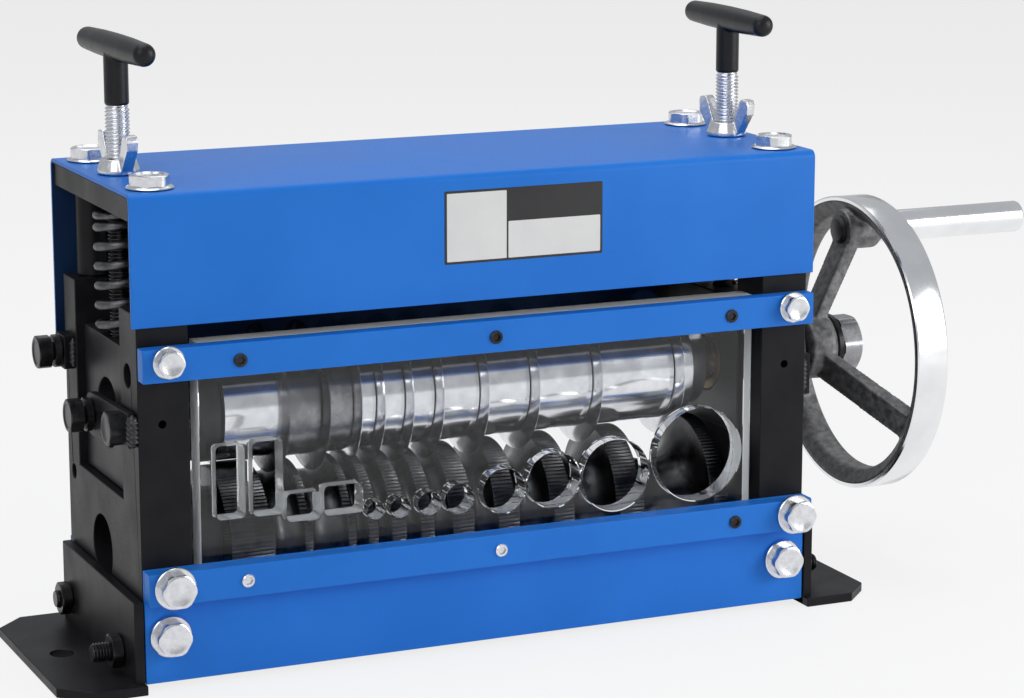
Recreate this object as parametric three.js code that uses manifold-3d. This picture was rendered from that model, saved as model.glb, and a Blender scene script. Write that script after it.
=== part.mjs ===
// Hand crank wire stripper: a bench machine that pulls a cable between a knurled feed roller and a
// shaft of round blades. Millimetres, +Z up, +X towards the handwheel, the cable enters at -Y.
// Sizes are written with x = 0 at the middle of the machine, y = 0 on the two roller axes and z = 0
// under the feet. The last lines move the whole model to the middle of its own footprint.
import * as THREE from 'three';
import { mergeVertices } from 'three/addons/utils/BufferGeometryUtils.js';
import Module from 'manifold-3d';

const wasm = await Module();
wasm.setup();

// Fits and clearances
const fitGap = 0.3;
const slideGap = 0.3;
const cutAllowance = 2;
const boltSides = 8;

// Side plates with their open slots
const plateOuterX = 147.8;
const plateThickness = 21;
const plateFrontY = -53.6;
const plateBackY = 47.7;
const plateBottomZ = 3;
const legTopZ = 151;
const slotHalfWidth = 31;
const slotBottomZ = 73;
const plateInnerX = plateOuterX - plateThickness;

// Roller axes
const feedAxisZ = 45.5;
const axisDistance = 56;
const cutterAxisZ = feedAxisZ + axisDistance;

// Top plate, cover and the columns between them and the side plates
const coverHalfLength = 150;
const coverSheet = 1.7;
const coverFrontY = plateFrontY - fitGap - coverSheet;
const coverBackY = 54.6;
const coverTopZ = 198.6;
const coverFrontSkirtZ = 146.3;
const coverBackSkirtZ = 114;
const coverBendRadius = 3;
const topPlateThickness = 9;
const topPlateInset = 1;
const columnDiameter = 13;
const topPlateTopZ = coverTopZ - coverSheet - fitGap;
const topPlateBottomZ = topPlateTopZ - topPlateThickness;
const frontLegY = (plateFrontY - slotHalfWidth) / 2;
const backLegY = (plateBackY + slotHalfWidth) / 2;
const plateMidX = plateOuterX - plateThickness / 2;

// Slide blocks and lift
const blockRecess = 3.5;
const blockInnerReach = 1.2;
const blockTopZ = 132.7;
const blockOuterX = plateOuterX - blockRecess;
const blockInnerX = plateInnerX - blockInnerReach;
const blockBottomZ = slotBottomZ + fitGap;

// Shafts and bushes
const cutterShaftDiameter = 20;
const cutterBushOuter = 28;
const cutterBushRecess = 8;
const feedJournalDiameter = 18;
const feedBushOuter = 26.4;
const feedHoleDiameter = 27;
const feedBushRecess = 10;

// Gear pair on the left ends of the shafts
const gearModule = 4;
const gearTeeth = 14;
const gearLeftX = -124.6;
const gearRightX = -116.8;
const gearAddendum = 3.6;
const gearDedendum = 4.7;
const gearToothThinning = 1;
const gearTipWidth = 2.2;
const gearRootWidth = 8.2;
const gearHubEndX = -104.4;
const cutterHubRadius = 23;
const feedHubRadius = 21.5;

// Stack on the cutter shaft
const bladeThickness = 2;
const bladeBevel = 3.5;
const bladeRadius = 31;
const bladeCentres = [-78.4, -60.8, -47, -36.9, -24.2, -10.8, 9.4, 32.5, 61.5, 100.2];
const sleeveRadius = 24;
const stackLeftX = gearHubEndX + 0.4;
const stackRightX = 108.3;
const collarWidth = 9;
const collarRadius = 19;

// Feed roller, with a round groove under each blade: its middle, half width and radius at the floor
const ridgeRadius = 30;
const wideGroove = 8;
const feedRollerLeftX = stackLeftX;
const feedRollerRightX = 123;
const grooves = [
  { x: -78.4, half: 6.5, floorRadius: 24.2 },
  { x: -60.8, half: 7.7, floorRadius: 24.2 },
  { x: -47, half: 2.7, floorRadius: 24 },
  { x: -36.9, half: 3.1, floorRadius: 24 },
  { x: -24.2, half: 3.3, floorRadius: 24 },
  { x: -10.8, half: 4.2, floorRadius: 24 },
  { x: 8.6, half: 5.6, floorRadius: 21.5 },
  { x: 31.8, half: 8, floorRadius: 19 },
  { x: 60, half: 10.7, floorRadius: 17 },
  { x: 99, half: 16.8, floorRadius: 12 },
];

// Guide plate and its cable channels: x and z of each centre, then its width and height
const guideLeftX = -123.3;
const guideRightX = 121.9;
const guideBottomZ = 36;
const guideTopZ = 138.5;
const guideThickness = 10;
const guideFrontY = plateFrontY;
const guideBackY = guideFrontY + guideThickness;
const slotChannels = [
  { x: -110.5, z: 81, width: 11.6, height: 30 },
  { x: -94.75, z: 81.2, width: 12.5, height: 30.5 },
  { x: -79.85, z: 67.9, width: 14.3, height: 11.5 },
  { x: -62.85, z: 69.1, width: 16.5, height: 12.2 },
];
const roundChannels = [
  { x: -48.9, z: 62.9, diameter: 7.4 },
  { x: -38.3, z: 63, diameter: 8.6 },
  { x: -25.6, z: 63.3, diameter: 9.8 },
  { x: -12.3, z: 63.8, diameter: 12.5 },
  { x: 7.7, z: 65.2, diameter: 18.8 },
  { x: 30.3, z: 67.5, diameter: 23.5 },
  { x: 58.6, z: 66.6, diameter: 30.5 },
  { x: 97.6, z: 71.6, diameter: 40 },
];
const channelCornerRadius = 2;
const wideChannel = 15;

// Bars and panels across the front and back
const barInset = 0.2;
const barHalfLength = plateOuterX - barInset;
const upperBarBottomZ = 125.4;
const upperBarTopZ = 138.7;
const lowerBarBottomZ = 36.3;
const lowerBarTopZ = 49.6;
const barThickness = 7;
const rearPanelTopZ = 38;
const panelSheet = 1.5;

// Feet
const footReach = 34;
const footThickness = 4;
const footUprightHeight = 37;
const footFrontY = -60;
const footBackY = 52;
const footUprightFrontY = -56;
const footUprightBackY = 46;
const footCorner = 12;
const footHoleDiameter = 10;
const footHoleX = 167.4;
const footHoleY = -4.7;
const footBoltFront = { y: -36, z: 12.5, endX: 164.2 };
const footBoltBack = { y: 37, z: 14.5, endX: 158.5 };

// Springs on the lift screws
const springOuterDiameter = 22;
const springWire = 3.8;
const springCurls = 6;
const springStepsPerCurl = 8;
const springSides = 5;

// Lift screws, T handles and wing nuts
const liftScrewDiameter = 10;
const liftScrewCoreDiameter = 7.4;
const liftScrewX = 137;
const liftScrewBottomZ = 118.6;
const handleBarZ = 249.5;
const threadTopZ = handleBarZ - 23.6;
const handleCoreTopZ = handleBarZ - 6.6;
const handleBarDiameter = 11;
const handleBarLength = 77;
const handleTurn = { left: -88.4, right: -93.5 };
const wingNutHeight = 6;
const wingNutBaseRadius = 8.6;
const wingSpan = 28;
const wingHeight = 16.5;
const wingThickness = 5;
const wingNutTurn = { left: -82, right: -69 };

// Handwheel, its grip and its nut
const wheelRadius = 65.8;
const wheelRimLeftX = 197;
const wheelRimWidth = 15.4;
const wheelRimDepth = 8.6;
const wheelHubRadius = 15;
const wheelHubLeftX = 174;
const wheelHubRightX = 188;
const wheelBoreDiameter = 14;
const wheelWasherThickness = 3;
const wheelNutWidth = 24;
const wheelNutThickness = 10;
const spokeCount = 3;
const spokeWidth = 13;
const gripInset = 14.3;
const gripRadius = wheelRadius - gripInset;
const gripDiameter = 14;
const gripEndX = 288;
const gripChamfer = 1.5;
const gripPinDiameter = 8;
const gripBossRadius = 9;

// Stop parts on the outer faces
const strapThickness = 3;
const strapFrontBottomZ = 98.2;
const strapFrontTopZ = 112.2;
const strapFrontY = -51;
const strapEndRadius = 9;
const strapBoltSeat = { y: -39, z: 104.2 };
const rightStopThickness = 4;
const rightStopBottomZ = 92.5;
const rightStopTopZ = 110;
const rightStopBackY = -16;
const lugThickness = 4.4;
const lugFrontY = 34;
const lugBackY = 47;
const lugBottomZ = 113;
const lugTopZ = 127;
const lugBoltSeat = { y: 40.5, z: 120 };

// Bare holes that the left plate shows: a tooling hole and a tapped one in its face, and a shallow one
// in the front of its leg
const toolingHole = { diameter: 9.7, y: -40.6, z: 125 };
const tappedHole = { diameter: 6.2, y: 39.7, z: 68.3 };
const legHole = { diameter: 3.4, x: -137.9, z: 107.3, depth: 7 };

// Standard fasteners, in real sizes: shank diameter, width across flats, head height, washer diameter
const m6 = { shank: 6, flats: 10, height: 4, washer: 13, washerThickness: 1.4 };
const m8 = { shank: 8, flats: 13, height: 5.6, washer: 17, washerThickness: 1.6 };
const m8Flange = { shank: 8, flats: 15, height: 4.2, washer: 19, washerThickness: 1.2 };
const m8Nut = { flats: 13, height: 4.5 };
const m8ThinNut = { flats: 13, height: 3 };

// Finishes
const finish = {
  bluePaint: { color: 0x2a6ec8, roughness: 0.35, metalness: 0.1 },
  blackPaint: { color: 0x242428, roughness: 0.5, metalness: 0.2 },
  zinc: { color: 0xc9ccd2, roughness: 0.3, metalness: 0.9 },
  steel: { color: 0x9a9a9e, roughness: 0.3, metalness: 0.9 },
  blade: { color: 0xb8babf, roughness: 0.22, metalness: 1 },
  bronze: { color: 0x8a6a3c, roughness: 0.45, metalness: 0.8 },
  castIron: { color: 0x55555a, roughness: 0.7, metalness: 0.5 },
  chrome: { color: 0xd5d6da, roughness: 0.12, metalness: 1 },
  acrylic: { color: 0xdfe6ea, roughness: 0.08, metalness: 0, transparent: true, opacity: 0.3 },
  blackPlastic: { color: 0x2a2a2f, roughness: 0.6, metalness: 0 },
  springSteel: { color: 0x4a4a50, roughness: 0.4, metalness: 0.8 },
};

const machine = new THREE.Group();

// Solids: a closed geometry becomes a solid, and solids are joined and cut
function solid(geometry) {
  const bare = geometry.index ? geometry.toNonIndexed() : geometry.clone();
  bare.deleteAttribute('normal');
  bare.deleteAttribute('uv');
  const merged = mergeVertices(bare, 1e-4);
  const mesh = {
    numProp: 3,
    vertProperties: new Float32Array(merged.attributes.position.array),
    triVerts: new Uint32Array(merged.index.array),
  };
  const made = new wasm.Manifold(new wasm.Mesh(mesh));
  if (made.volume() > 0) return made;
  mesh.triVerts.reverse();
  return new wasm.Manifold(new wasm.Mesh(mesh));
}

function join(...solids) {
  return solids.reduce((whole, piece) => whole.add(piece));
}

function cut(body, ...tools) {
  return tools.reduce((rest, tool) => rest.subtract(tool), body);
}

function place(name, piece, look, parent = machine) {
  const made = piece.getMesh();
  const geometry = new THREE.BufferGeometry();
  geometry.setAttribute('position', new THREE.BufferAttribute(made.vertProperties, 3));
  geometry.setIndex(new THREE.BufferAttribute(made.triVerts, 1));
  geometry.computeVertexNormals();
  const mesh = new THREE.Mesh(geometry, new THREE.MeshStandardMaterial({ ...finish[look] }));
  mesh.name = name;
  parent.add(mesh);
  return mesh;
}

// Basic shapes, each given by its real limits
function block(x0, x1, y0, y1, z0, z1) {
  const box = new THREE.BoxGeometry(x1 - x0, y1 - y0, z1 - z0);
  box.translate((x0 + x1) / 2, (y0 + y1) / 2, (z0 + z1) / 2);
  return solid(box);
}

function rod(axis, radius, from, to, a, b, sides = 16, endRadius = radius) {
  const bar = new THREE.CylinderGeometry(endRadius, radius, to - from, sides);
  bar.translate(0, (from + to) / 2, 0);
  return solid(alongAxis(bar, axis, a, b));
}

function hexagon(axis, flats, from, to, a, b) {
  return rod(axis, flats / Math.sqrt(3), from, to, a, b, 6);
}

// A shape made about Y is laid along an axis; a and b are its place on the other two axes in order
function alongAxis(geometry, axis, a, b) {
  if (axis === 'x') geometry.rotateZ(-Math.PI / 2).translate(0, a, b);
  if (axis === 'y') geometry.translate(a, 0, b);
  if (axis === 'z') geometry.rotateX(Math.PI / 2).translate(a, b, 0);
  return geometry;
}

// A profile of [place along the axis, radius] points turned about an axis
function turned(axis, profile, a, b, sides = 24) {
  const points = profile.map(([along, radius]) => new THREE.Vector2(radius, along));
  return solid(alongAxis(new THREE.LatheGeometry(points, sides), axis, a, b));
}

function ring(axis, inner, outer, from, to, a, b, sides = 24) {
  return turned(axis, [[from, inner], [from, outer], [to, outer], [to, inner], [from, inner]], a, b, sides);
}

// An outline in two axes pushed along the third: x takes (y, z), y takes (x, z), z takes (x, y)
function prism(axis, shape, from, to, curveSegments = 6) {
  const slab = new THREE.ExtrudeGeometry(shape, { depth: to - from, bevelEnabled: false, curveSegments });
  slab.translate(0, 0, from);
  const toYZ = new THREE.Matrix4().set(0, 0, 1, 0, 1, 0, 0, 0, 0, 1, 0, 0, 0, 0, 0, 1);
  const toXZ = new THREE.Matrix4().set(1, 0, 0, 0, 0, 0, 1, 0, 0, 1, 0, 0, 0, 0, 0, 1);
  if (axis === 'x') slab.applyMatrix4(toYZ);
  if (axis === 'y') slab.applyMatrix4(toXZ);
  return solid(slab);
}

function polygon(points) {
  return new THREE.Shape(points.map(([a, b]) => new THREE.Vector2(a, b)));
}

function roundedSlot({ x, z, width, height }) {
  const radius = channelCornerRadius;
  const left = x - width / 2;
  const right = x + width / 2;
  const low = z - height / 2;
  const high = z + height / 2;
  const outline = new THREE.Shape();
  outline.moveTo(left + radius, low);
  outline.lineTo(right - radius, low);
  outline.absarc(right - radius, low + radius, radius, -Math.PI / 2, 0, false);
  outline.absarc(right - radius, high - radius, radius, 0, Math.PI / 2, false);
  outline.absarc(left + radius, high - radius, radius, Math.PI / 2, Math.PI, false);
  outline.absarc(left + radius, low + radius, radius, Math.PI, 1.5 * Math.PI, false);
  return outline;
}

// Fasteners that point along +Y from the front, or along X and Z at the sides and top.
// seat is where the washer's underside lies, and sign is the way the head faces.
function hexBolt(axis, size, seat, sign, length, a, b, withWasher = true) {
  const washerTop = seat + sign * (withWasher ? size.washerThickness : 0);
  const headTop = washerTop + sign * size.height;
  const pieces = [
    rod(axis, size.shank / 2, ...ordered(seat - sign * length, washerTop + sign), a, b, boltSides),
    hexagon(axis, size.flats, ...ordered(washerTop, headTop), a, b),
  ];
  if (withWasher) pieces.push(rod(axis, size.washer / 2, ...ordered(seat, washerTop), a, b, 14));
  return join(...pieces);
}

function ordered(p, q) {
  return p < q ? [p, q] : [q, p];
}

function clearHole(axis, diameter, from, to, a, b, sides = boltSides) {
  return rod(axis, diameter / 2 + fitGap, ...ordered(from, to), a, b, sides);
}

// Where each front and back fastener sits
const upperBoltZ = 133.4;
const lowerBoltZ = 43.5;
const panelBoltZ = 22;
const lowerRightBoltShift = 1.7;
const upperBarBolts = [-plateMidX, plateMidX].map((x) => ({ x, z: upperBoltZ }));
const lowerBarBolts = [-plateMidX, plateMidX + lowerRightBoltShift].map((x) => ({ x, z: lowerBoltZ }));
const panelBolts = [-plateMidX, plateMidX].map((x) => ({ x, z: panelBoltZ }));
const upperScrewZ = 131.8;
const lowerScrewZ = 43;
const upperScrewX = [-108, 0.8, 108.3];
const lowerScrewX = [-107, 2.3, 110.5];
const guideScrews = [
  ...upperScrewX.map((x) => ({ x, z: upperScrewZ })),
  ...lowerScrewX.map((x) => ({ x, z: lowerScrewZ })),
];
const boltGrip = 18;
const coverBoltDepth = 14;
const strapBoltDepth = 14;
const lugBoltDepth = 8;
const weldDepth = 1;
const guideScrewGrip = 7;
const guideScrewShank = 5;
const upperBarBackY = plateFrontY - fitGap;
const upperBarFrontY = upperBarBackY - barThickness;
const panelBackY = plateFrontY - fitGap;
const panelFrontY = panelBackY - panelSheet;
const lowerBarBackY = panelFrontY - fitGap;
const lowerBarFrontY = lowerBarBackY - barThickness;
const rearPanelFrontY = plateBackY + fitGap;
const rearPanelBackY = rearPanelFrontY + panelSheet;
const footSeatX = plateOuterX + fitGap;
const footUprightOuterX = footSeatX + footThickness;
const footBolts = [footBoltFront, footBoltBack];
const strapSeatX = plateOuterX + fitGap;
const strapOuterX = strapSeatX + strapThickness;
const lugOuterX = plateOuterX + lugThickness;

// Side plate with its slot and every hole that something passes through; side is -1 left, 1 right
function sidePlate(side) {
  const outline = polygon([
    [plateFrontY, plateBottomZ], [plateBackY, plateBottomZ],
    [plateBackY, legTopZ], [slotHalfWidth, legTopZ],
    [slotHalfWidth, slotBottomZ], [-slotHalfWidth, slotBottomZ],
    [-slotHalfWidth, legTopZ], [plateFrontY, legTopZ],
  ]);
  const [x0, x1] = ordered(side * plateInnerX, side * plateOuterX);
  const past = [x0 - cutAllowance, x1 + cutAllowance];
  const holes = [rod('x', feedHoleDiameter / 2, ...past, 0, feedAxisZ, 24)];
  const frontHoles = [...upperBarBolts, ...lowerBarBolts, ...panelBolts].filter(({ x }) => x * side > 0);
  for (const { x, z } of frontHoles) {
    const shank = upperBarBolts.some((seat) => seat.z === z) ? m6.shank : m8.shank;
    holes.push(clearHole('y', shank, plateFrontY - cutAllowance, plateFrontY + boltGrip, x, z));
  }
  holes.push(clearHole('y', m6.shank, plateBackY - boltGrip, plateBackY + cutAllowance,
    side * plateMidX, panelBoltZ));
  for (const y of [frontLegY, backLegY]) {
    const depth = [legTopZ - coverBoltDepth - 2, legTopZ + cutAllowance];
    holes.push(clearHole('z', m8.shank, ...depth, side * plateMidX, y));
  }
  for (const { y, z } of footBolts) {
    holes.push(clearHole('x', m8.shank, ...past, y, z));
  }
  if (side < 0) {
    for (const { diameter, y, z } of [toolingHole, tappedHole]) {
      holes.push(rod('x', diameter / 2, ...past, y, z, 16));
    }
    holes.push(rod('y', legHole.diameter / 2, plateFrontY - cutAllowance, plateFrontY + legHole.depth,
      legHole.x, legHole.z, 12));
    holes.push(clearHole('x', m8.shank, strapBoltDepth - plateOuterX, -plateOuterX - cutAllowance,
      strapBoltSeat.y, strapBoltSeat.z));
    holes.push(clearHole('x', m8.shank, lugBoltDepth - plateOuterX, -lugOuterX - cutAllowance,
      lugBoltSeat.y, lugBoltSeat.z));
  }
  return cut(join(prism('x', outline, x0, x1), side < 0 ? sideLug() : rightStop()), ...holes);
}

// Welded to the left plate: a lug that a stop bolt screws into
function sideLug() {
  return block(-lugOuterX, weldDepth - plateOuterX, lugFrontY, lugBackY, lugBottomZ, lugTopZ);
}

// Welded to the right plate: a stop that overlaps the slide block's face, clear of the shaft
function rightStop() {
  const height = [rightStopBottomZ, rightStopTopZ];
  const outer = plateOuterX + fitGap + rightStopThickness;
  const face = block(plateOuterX + fitGap, outer, strapFrontY, rightStopBackY, ...height);
  const root = block(plateOuterX - weldDepth, outer, strapFrontY, -slotHalfWidth - 1, ...height);
  return join(face, root);
}

// Slide block with its shaft bore and the blind socket of the lift screw
function slideBlock(side) {
  const [x0, x1] = ordered(side * blockInnerX, side * blockOuterX);
  const body = block(x0, x1, slideGap - slotHalfWidth, slotHalfWidth - slideGap, blockBottomZ, blockTopZ);
  const through = [x0 - cutAllowance, x1 + cutAllowance];
  const bore = rod('x', cutterBushOuter / 2 + fitGap, ...through, 0, cutterAxisZ, 24);
  const socket = clearHole('z', liftScrewDiameter, liftScrewBottomZ - fitGap, blockTopZ + cutAllowance,
    side * liftScrewX, 0, 16);
  return cut(body, bore, socket);
}

// The cover is one sheet folded into an upside-down U with open ends and a longer flap at the back
function coverSheetSolid() {
  const outer = coverOutline(0);
  const inner = coverOutline(coverSheet);
  const outline = polygon([...outer, ...inner.reverse()]);
  const shell = prism('x', outline, -coverHalfLength, coverHalfLength);
  return cut(shell, ...topHoles(topPlateTopZ - cutAllowance, coverTopZ + cutAllowance));
}

function coverOutline(inset) {
  const radius = coverBendRadius - inset;
  const front = coverFrontY + inset;
  const back = coverBackY - inset;
  const top = coverTopZ - inset;
  const points = [[front, coverFrontSkirtZ]];
  for (const step of [0, 1, 2, 3]) {
    const angle = (step / 3) * (Math.PI / 2);
    points.push([front + radius * (1 - Math.cos(angle)), top - radius * (1 - Math.sin(angle))]);
  }
  for (const step of [0, 1, 2, 3]) {
    const angle = (step / 3) * (Math.PI / 2);
    points.push([back - radius * (1 - Math.sin(angle)), top - radius * (1 - Math.cos(angle))]);
  }
  points.push([back, coverBackSkirtZ]);
  return points;
}

function topHoles(from, to) {
  const holes = [];
  for (const side of [-1, 1]) {
    for (const y of [frontLegY, backLegY]) {
      holes.push(clearHole('z', m8.shank, from, to, side * plateMidX, y));
    }
    holes.push(clearHole('z', liftScrewDiameter, from, to, side * liftScrewX, 0, 16));
  }
  return holes;
}

function topPlate() {
  const end = coverHalfLength - topPlateInset;
  const front = coverFrontY + coverSheet + fitGap;
  const back = coverBackY - coverSheet - fitGap;
  const edge = coverBendRadius;
  const outline = polygon([
    [front, topPlateBottomZ], [back, topPlateBottomZ], [back, topPlateTopZ - edge],
    [back - edge, topPlateTopZ], [front + edge, topPlateTopZ], [front, topPlateTopZ - edge],
  ]);
  const holes = topHoles(topPlateBottomZ - cutAllowance, topPlateTopZ + cutAllowance);
  return cut(prism('x', outline, -end, end), ...holes);
}

// A cover bolt runs through its spacer column into the top of a leg, and holds the column as one piece
function coverBolt(side, y) {
  const x = side * plateMidX;
  const seat = coverTopZ + fitGap;
  const column = rod('z', columnDiameter / 2, legTopZ + fitGap, topPlateBottomZ - fitGap, x, y, 16);
  return join(hexBolt('z', m8Flange, seat, 1, seat - (legTopZ - coverBoltDepth), x, y), column);
}

// Guide plate with its row of cable channels
function guidePlate() {
  const slab = block(guideLeftX, guideRightX, guideFrontY, guideBackY, guideBottomZ, guideTopZ);
  const through = [guideFrontY - cutAllowance, guideBackY + cutAllowance];
  const sidesOf = ({ diameter }) => (diameter > wideChannel ? 24 : 14);
  const channels = [
    ...slotChannels.map((c) => prism('y', roundedSlot(c), ...through, 3)),
    ...roundChannels.map((c) => rod('y', c.diameter / 2, ...through, c.x, c.z, sidesOf(c))),
  ];
  const taps = guideScrews.map(({ x, z }) =>
    clearHole('y', guideScrewShank, guideFrontY - cutAllowance, guideFrontY + guideScrewGrip, x, z));
  return cut(slab, ...channels, ...taps);
}

function upperFrontBar() {
  const height = [upperBarBottomZ, upperBarTopZ];
  const bar = block(-barHalfLength, barHalfLength, upperBarFrontY, upperBarBackY, ...height);
  const through = [upperBarFrontY - cutAllowance, upperBarBackY + cutAllowance];
  const holes = [
    ...upperBarBolts.map(({ x, z }) => clearHole('y', m6.shank, ...through, x, z)),
    ...guideScrews.slice(0, 3).map(({ x, z }) => clearHole('y', guideScrewShank, ...through, x, z)),
  ];
  return cut(bar, ...holes);
}

function lowerFrontBar() {
  const height = [lowerBarBottomZ, lowerBarTopZ];
  const bar = block(-barHalfLength, barHalfLength, lowerBarFrontY, lowerBarBackY, ...height);
  const through = [lowerBarFrontY - cutAllowance, lowerBarBackY + cutAllowance];
  const holes = [
    ...lowerBarBolts.map(({ x, z }) => clearHole('y', m8.shank, ...through, x, z)),
    ...guideScrews.slice(3).map(({ x, z }) => clearHole('y', guideScrewShank, ...through, x, z)),
  ];
  return cut(bar, ...holes);
}

function frontPanel() {
  const height = [plateBottomZ, lowerBarTopZ];
  const sheet = block(-barHalfLength, barHalfLength, panelFrontY, panelBackY, ...height);
  const through = [panelFrontY - cutAllowance, panelBackY + cutAllowance];
  const holes = [
    ...[...lowerBarBolts, ...panelBolts].map(({ x, z }) => clearHole('y', m8.shank, ...through, x, z)),
    ...guideScrews.slice(3).map(({ x, z }) => clearHole('y', guideScrewShank, ...through, x, z)),
  ];
  return cut(sheet, ...holes);
}

function rearPanel() {
  const height = [plateBottomZ, rearPanelTopZ];
  const sheet = block(-barHalfLength, barHalfLength, rearPanelFrontY, rearPanelBackY, ...height);
  const holes = [-1, 1].map((side) => clearHole('y', m6.shank, rearPanelFrontY - cutAllowance,
    rearPanelBackY + cutAllowance, side * plateMidX, panelBoltZ));
  return cut(sheet, ...holes);
}

// Foot: an angle bracket whose flat leg is bored for a bench bolt
function foot(side) {
  const [x0, x1] = ordered(side * footSeatX, side * footUprightOuterX);
  const upright = block(x0, x1, footUprightFrontY, footUprightBackY, 0, footUprightHeight);
  const tip = side * (footSeatX + footReach);
  const root = side * footSeatX;
  const shoulder = side * (footSeatX + footReach - footCorner);
  const sole = prism('z', polygon([
    [root, footFrontY], [shoulder, footFrontY], [tip, footFrontY + footCorner],
    [tip, footBackY - footCorner], [shoulder, footBackY], [root, footBackY],
  ]), 0, footThickness);
  const holes = [rod('z', footHoleDiameter / 2, -cutAllowance, footThickness + cutAllowance,
    side * footHoleX, footHoleY, 20)];
  for (const { y, z } of footBolts) {
    holes.push(clearHole('x', m8.shank, x0 - cutAllowance, x1 + cutAllowance, y, z));
  }
  return cut(join(upright, sole), ...holes);
}

// Foot bolts are set in from inside the plate, with a nut and a bare end outside
const footNutSeatX = footUprightOuterX + fitGap;

function footBolt(side, { y, z, endX }) {
  const seat = plateInnerX - fitGap;
  const shank = hexBolt('x', m8, side * seat, -side, endX - seat, y, z, false);
  const nutSpan = ordered(side * footNutSeatX, side * (footNutSeatX + m8Nut.height));
  return join(shank, hexagon('x', m8Nut.flats, ...nutSpan, y, z));
}

function frontBolt({ x, z }, size, seatY) {
  return hexBolt('y', size, seatY, -1, plateFrontY + boltGrip - 2 - seatY, x, z);
}

// Strap on the left plate's outer face: its bolt holds it, its free end carries the thrust bolt
function stopStrap() {
  const [x0, x1] = [-strapOuterX, -strapSeatX];
  const bar = prism('x', polygon([
    [strapFrontY, strapFrontBottomZ], [0, cutterAxisZ - strapEndRadius],
    [0, cutterAxisZ + strapEndRadius], [strapFrontY, strapFrontTopZ],
  ]), x0, x1);
  const end = rod('x', strapEndRadius, x0, x1, 0, cutterAxisZ, 20);
  const hole = clearHole('x', m8.shank, x0 - cutAllowance, x1 + cutAllowance, 0, cutterAxisZ);
  const length = strapOuterX - plateOuterX + strapBoltDepth - 2;
  const bolt = hexBolt('x', m8, x0, -1, length, strapBoltSeat.y, strapBoltSeat.z, false);
  return join(cut(join(bar, end), hole), bolt);
}

// Thrust bolt: its tip stands just off the end of the cutter shaft, and its locknut grips the strap
const shaftLeftEndX = -blockOuterX + 8;
const locknutSeatX = -(strapOuterX + fitGap);
const stopBoltSeatX = -155.6;
const lugLocknutSeatX = -(lugOuterX + fitGap);
const lugStopBoltSeatX = -156.8;

// A stop bolt with its locknut screwed up to the piece that it stands in
function stopBolt(locknutSeat, headSeat, tip, y, z) {
  const nut = hexagon('x', m8ThinNut.flats, locknutSeat - m8ThinNut.height, locknutSeat, y, z);
  return join(hexBolt('x', m8, headSeat, -1, tip - headSeat, y, z, false), nut);
}

// Gear with straight flanked teeth, thinned for running clearance, and a hub towards the rollers
function gear(tooth0, centreZ, boreDiameter, hubRadius) {
  const pitchRadius = (gearModule * gearTeeth) / 2;
  const rootRadius = pitchRadius - gearDedendum;
  const tipRadius = pitchRadius + gearAddendum;
  const pitchWidth = (Math.PI * gearModule) / 2 - gearToothThinning;
  const points = [];
  for (let tooth = 0; tooth < gearTeeth; tooth += 1) {
    const angle = ((tooth + tooth0) / gearTeeth) * 2 * Math.PI;
    const corners = [
      [rootRadius, -gearRootWidth / 2], [pitchRadius, -pitchWidth / 2], [tipRadius, -gearTipWidth / 2],
      [tipRadius, gearTipWidth / 2], [pitchRadius, pitchWidth / 2], [rootRadius, gearRootWidth / 2],
    ];
    for (const [radius, offset] of corners) {
      const turn = angle + offset / radius;
      points.push([radius * Math.sin(turn), centreZ + radius * Math.cos(turn)]);
    }
  }
  const blank = prism('x', polygon(points), gearLeftX, gearRightX);
  const hub = rod('x', hubRadius, gearRightX - 1, gearHubEndX, 0, centreZ, 24);
  const bore = rod('x', boreDiameter / 2 + fitGap, gearLeftX - cutAllowance, gearHubEndX + cutAllowance, 0,
    centreZ, 20);
  return cut(join(blank, hub), bore);
}

// A blade with the spacer sleeve that reaches to the next blade. The first one also has the sleeve before
// it, and the last one the end collar.
function blade(x, index) {
  const bore = cutterShaftDiameter / 2 + fitGap;
  const half = bladeThickness / 2;
  const next = bladeCentres[index + 1];
  const sleeveEnd = next === undefined ? stackRightX : next - half - fitGap;
  const firstSleeve = [[stackLeftX, bore], [stackLeftX, sleeveRadius], [x - half, sleeveRadius]];
  const start = index === 0 ? firstSleeve : [[x - half, bore]];
  const disc = [[x - half, bladeRadius - bladeBevel], [x, bladeRadius], [x + half, bladeRadius - bladeBevel],
    [x + half, sleeveRadius], [sleeveEnd, sleeveRadius]];
  const collar = [[sleeveEnd, collarRadius], [sleeveEnd + collarWidth, collarRadius],
    [sleeveEnd + collarWidth, bore]];
  const end = next === undefined ? collar : [[sleeveEnd, bore]];
  return turned('x', [...start, ...disc, ...end, start[0]], 0, cutterAxisZ, 20);
}

const wheelWasherLeftX = wheelHubRightX + fitGap;
const wheelNutLeftX = wheelWasherLeftX + wheelWasherThickness;
const shaftRightEndX = wheelNutLeftX + wheelNutThickness + 2;

function cutterShaft() {
  const full = cutterShaftDiameter / 2;
  const seat = wheelBoreDiameter / 2;
  const shoulder = wheelHubLeftX - fitGap;
  const profile = [[shaftLeftEndX, 0], [shaftLeftEndX, full], [shoulder, full], [shoulder, seat],
    [shaftRightEndX - 1, seat], [shaftRightEndX, seat - 1], [shaftRightEndX, 0]];
  return turned('x', profile, 0, cutterAxisZ, 20);
}

function bush(side, innerDiameter, outerDiameter, x0, x1, centreZ) {
  const [from, to] = ordered(side * x0, side * x1);
  return ring('x', innerDiameter / 2 + fitGap, outerDiameter / 2, from, to, 0, centreZ, 24);
}

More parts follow.
